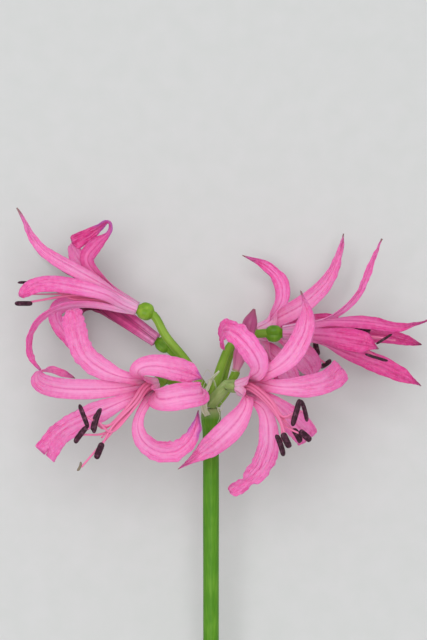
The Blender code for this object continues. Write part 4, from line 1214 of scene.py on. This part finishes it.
# %% Back right floret
# Most of its tepals take a shaded tone: painted shade.
build_floret(
    "right_back", ring_angle=330, ovary=(14, 30, -16), axis=(0.85, -0.05, -0.5), tube=5,
    tone="shaded", claw_radii=(3.5, 3.1), anther_girths={1: 1.2}, stigma=(37, 25, -36),
    bundle=[(27, 28.5, -27), (34, 26, -34)], pedicel=[(4, 9, -5), (7, 20, -11)],
    anthers=[((42.6, 26.2, -37), (43.8, 20.6, -37)), ((44.6, 15.4, -38), (49.4, 18.6, -39)),
             ((33.2, 15.2, -36), (35.2, 11.2, -38)), ((39, 27.5, -34.5), (43, 28.5, -35)),
             ((38, 21, -39), (41, 17, -40)), ((35, 27, -39), (40, 29, -40))],
    tepals=[
        [(27, 36, -21, 8, 10), (38, 42, -23, 7.6, 15), (47.4, 51.2, -26, 6, 20),
         (52.5, 62.5, -31, 4.6, 20), (54.4, 70.6, -35, 1.8, 20)],
        [(25, 37, -25, 5, 20), (29, 43.5, -30, 5.6, 0), (28.4, 51, -30, 6.4, 0),
         (22.4, 57.4, -29, 4.8, 0), (12.8, 61.6, -30, 1.6, 0)],
        [(23.5, 22.5, -20, 8, -45), (28.5, 17.5, -21, 9.5, -15), (32.5, 11.5, -26, 7.5, 0),
         (35, 7, -30, 2, 0)],
        [(28, 26.8, -19.5, 8, -45), (35.6, 21.6, -25, 11, -20), (40.8, 16.6, -32, 9.5, -10),
         (42.2, 11, -37, 4, 0)],
        [(27, 32.5, -31, 5, 0), (38, 33.5, -38, 7, 0), (49, 34.5, -42.1, 7, 0),
         (58, 33.5, -44, 2, 0)],
        [(21, 24, -27, 5.5, 0), (25.5, 16.5, -35, 7, 0), (30.5, 12, -40.1, 6.5, 0),
         (37, 10, -41, 5, 0), (43.5, 9.5, -41.1, 2, 0)],
    ],
    habits={
        1: {"tone": "front", "tip": 16, "dry": 1.5, "ruffle": 0.8, "pinches": ((0.72, 0.18, 3),)},
        2: {"tone": "side", "tip": 12, "dry": 1.5, "ruffle": 0.8, "pinches": ((0.7, 0.22, 3),)},
        3: {"tone": "front", "tip": 5},
        4: {"tone": "front", "tip": 5},
    },
)

# %% [markdown]
# ## The closed bud
# One bud is still shut: a pointed spindle of rolled tepals on its own short stalk. Its six tepals
# show as furrows that turn slowly around it. A tube with a furrowed outline, twisted along its
# length, gives that.

# %% Bud
BUD_RING_ANGLE = 30
BUD_PEDICEL = [(6.2, 7, 2.8), (9.2, 12.6, 5)]
BUD_PEDICEL_RADIUS = 1.5
BUD_LEAD = 2
BUD_TIP = (17.2, 39.6, 8)
BUD_RADIUS = 2.9
BUD_TIP_RADIUS = 0.12
BUD_STATIONS = 48
BUD_SIDES = 42
BUD_FURROW = 0.1
BUD_TWIST = 1.1

tip = Vector(BUD_TIP)
seat = Vector(BUD_PEDICEL[-1])
axis = (tip - seat).normalized()
foot = seat + axis * BUD_LEAD
pedicel("bud_stalk", "bud_pedicel", BUD_RING_ANGLE, BUD_PEDICEL[:-1], foot, axis,
        BUD_PEDICEL_RADIUS, "fresh_flower_stalk")
foot = foot + axis * SEAT_GAP


def bud_outline(v, angle):
    body = 0.5 + 0.5 * ease(v, 0.0, 0.3)
    body *= 1 - 0.95 * ease(v, 0.76, 1.06)
    furrow = abs(math.sin(1.5 * (angle + BUD_TWIST * v))) ** 0.5
    return BUD_RADIUS * body * (1 - BUD_FURROW * (1 - furrow)) + BUD_TIP_RADIUS


frames = frames_along([foot.lerp(tip, i / BUD_STATIONS) for i in range(BUD_STATIONS + 1)])
finish_piece("closed_bud", tube(frames, bud_outline, BUD_SIDES), bud_skin, "bud", "bud")
print("bud:", round((tip - foot).length), "mm long")

# %% [markdown]
# ## Dry bracts and threads
# Two withered bracts are all that is left of the spathe. One stands in front of the umbel and one
# hangs behind the scape. Fine dry threads, the remains of small bracts between the stalks, curl
# around the umbel. The bracts are made like tepals with a crumpled surface, and the threads are
# thin tubes along loose random curls.

# %% Bracts
BRACT_THICKNESS = 0.22
BRACT_ACROSS = 10
BRACT_ALONG = 40
RAGGED_SHARE = 0.3
RAGGED_WAVE = 2.5
CRUMPLE_HEIGHT = 0.35
CRUMPLE_WAVE = 3
CUPPED = 0.2
BRACTS = {
    "spathe_front": [(-1.6, -3, 4.3, 2.2, 0), (-2.6, 1, 5.4, 2.6, -20),
                     (-1.8, 7, 8, 2, -40), (0.6, 12, 9.5, 1.3, 0), (3.2, 15, 10, 0.7, 60)],
    "spathe_back": [(1.2, 1, -4.7, 3, 180), (1, -5, -5.2, 4, 180), (0.5, -12, -5.6, 3, 180),
                    (0, -18, -6.4, 1.2, 180)],
}


def bract(name, rows, seed):
    """A dry leaf along rows of (x, y, z, width, turn), crumpled all over."""
    picked, length = smooth_rows(rows, BRACT_ALONG + 1)
    tangents = tangents_of(picked)

    def place(u, v):
        station = round(v * BRACT_ALONG)
        *middle, width, turn = picked[station]
        run = v * length
        side = 2 * u - 1
        normal = turned_up(tangents[station], turn)
        half = width / 2 * (1 + RAGGED_SHARE * wave(run, RAGGED_WAVE, seed + side))
        crumple = CRUMPLE_HEIGHT * wave(run, CRUMPLE_WAVE, seed + 2 * side)
        crumple += CUPPED * side * side
        return Vector(middle) + normal.cross(tangents[station]) * half * side + normal * crumple

    leaf = bent_grid(BRACT_ACROSS, BRACT_ALONG, place)
    thicken(finish_piece(f"dry_{name}", leaf, bract_skin, "spathe", name), "paper",
            BRACT_THICKNESS)


for i, (name, rows) in enumerate(BRACTS.items()):
    bract(name, rows, i * 5)
print("bracts:", len(BRACTS))

# %% Threads
THREAD_RADIUS = 0.16
THREAD_STATIONS = 30
THREADS = [
    [(-1, 2, 4), (-3, 6, 7), (-2.5, 10, 9), (0.5, 12, 10.5), (1.5, 9, 11)],
    [(0, 3, 4), (2, 8, 7), (0.5, 13, 9.5), (-1.5, 15.5, 10), (-3, 13, 9)],
    [(2, 1, 4), (4, -1, 5.5), (4.6, 1.5, 6.5), (3.6, 3, 7)],
    [(-2, 1, 4), (-4, 3, 6), (-4.5, 8, 8), (-3, 12, 9)],
    [(2.5, 0, 3.8), (3.6, -3, 5), (2.6, -6, 4.6)],
]

bm = bmesh.new()
for route in THREADS:
    picked, _ = smooth_rows(route, THREAD_STATIONS)
    join(bm, tube(frames_along(picked), lambda v, angle: THREAD_RADIUS * (1.2 - 0.8 * v), 6))
finish_piece("dry_threads", bm, bract_skin, "spathe", "spathe_front")
print("threads:", len(THREADS))
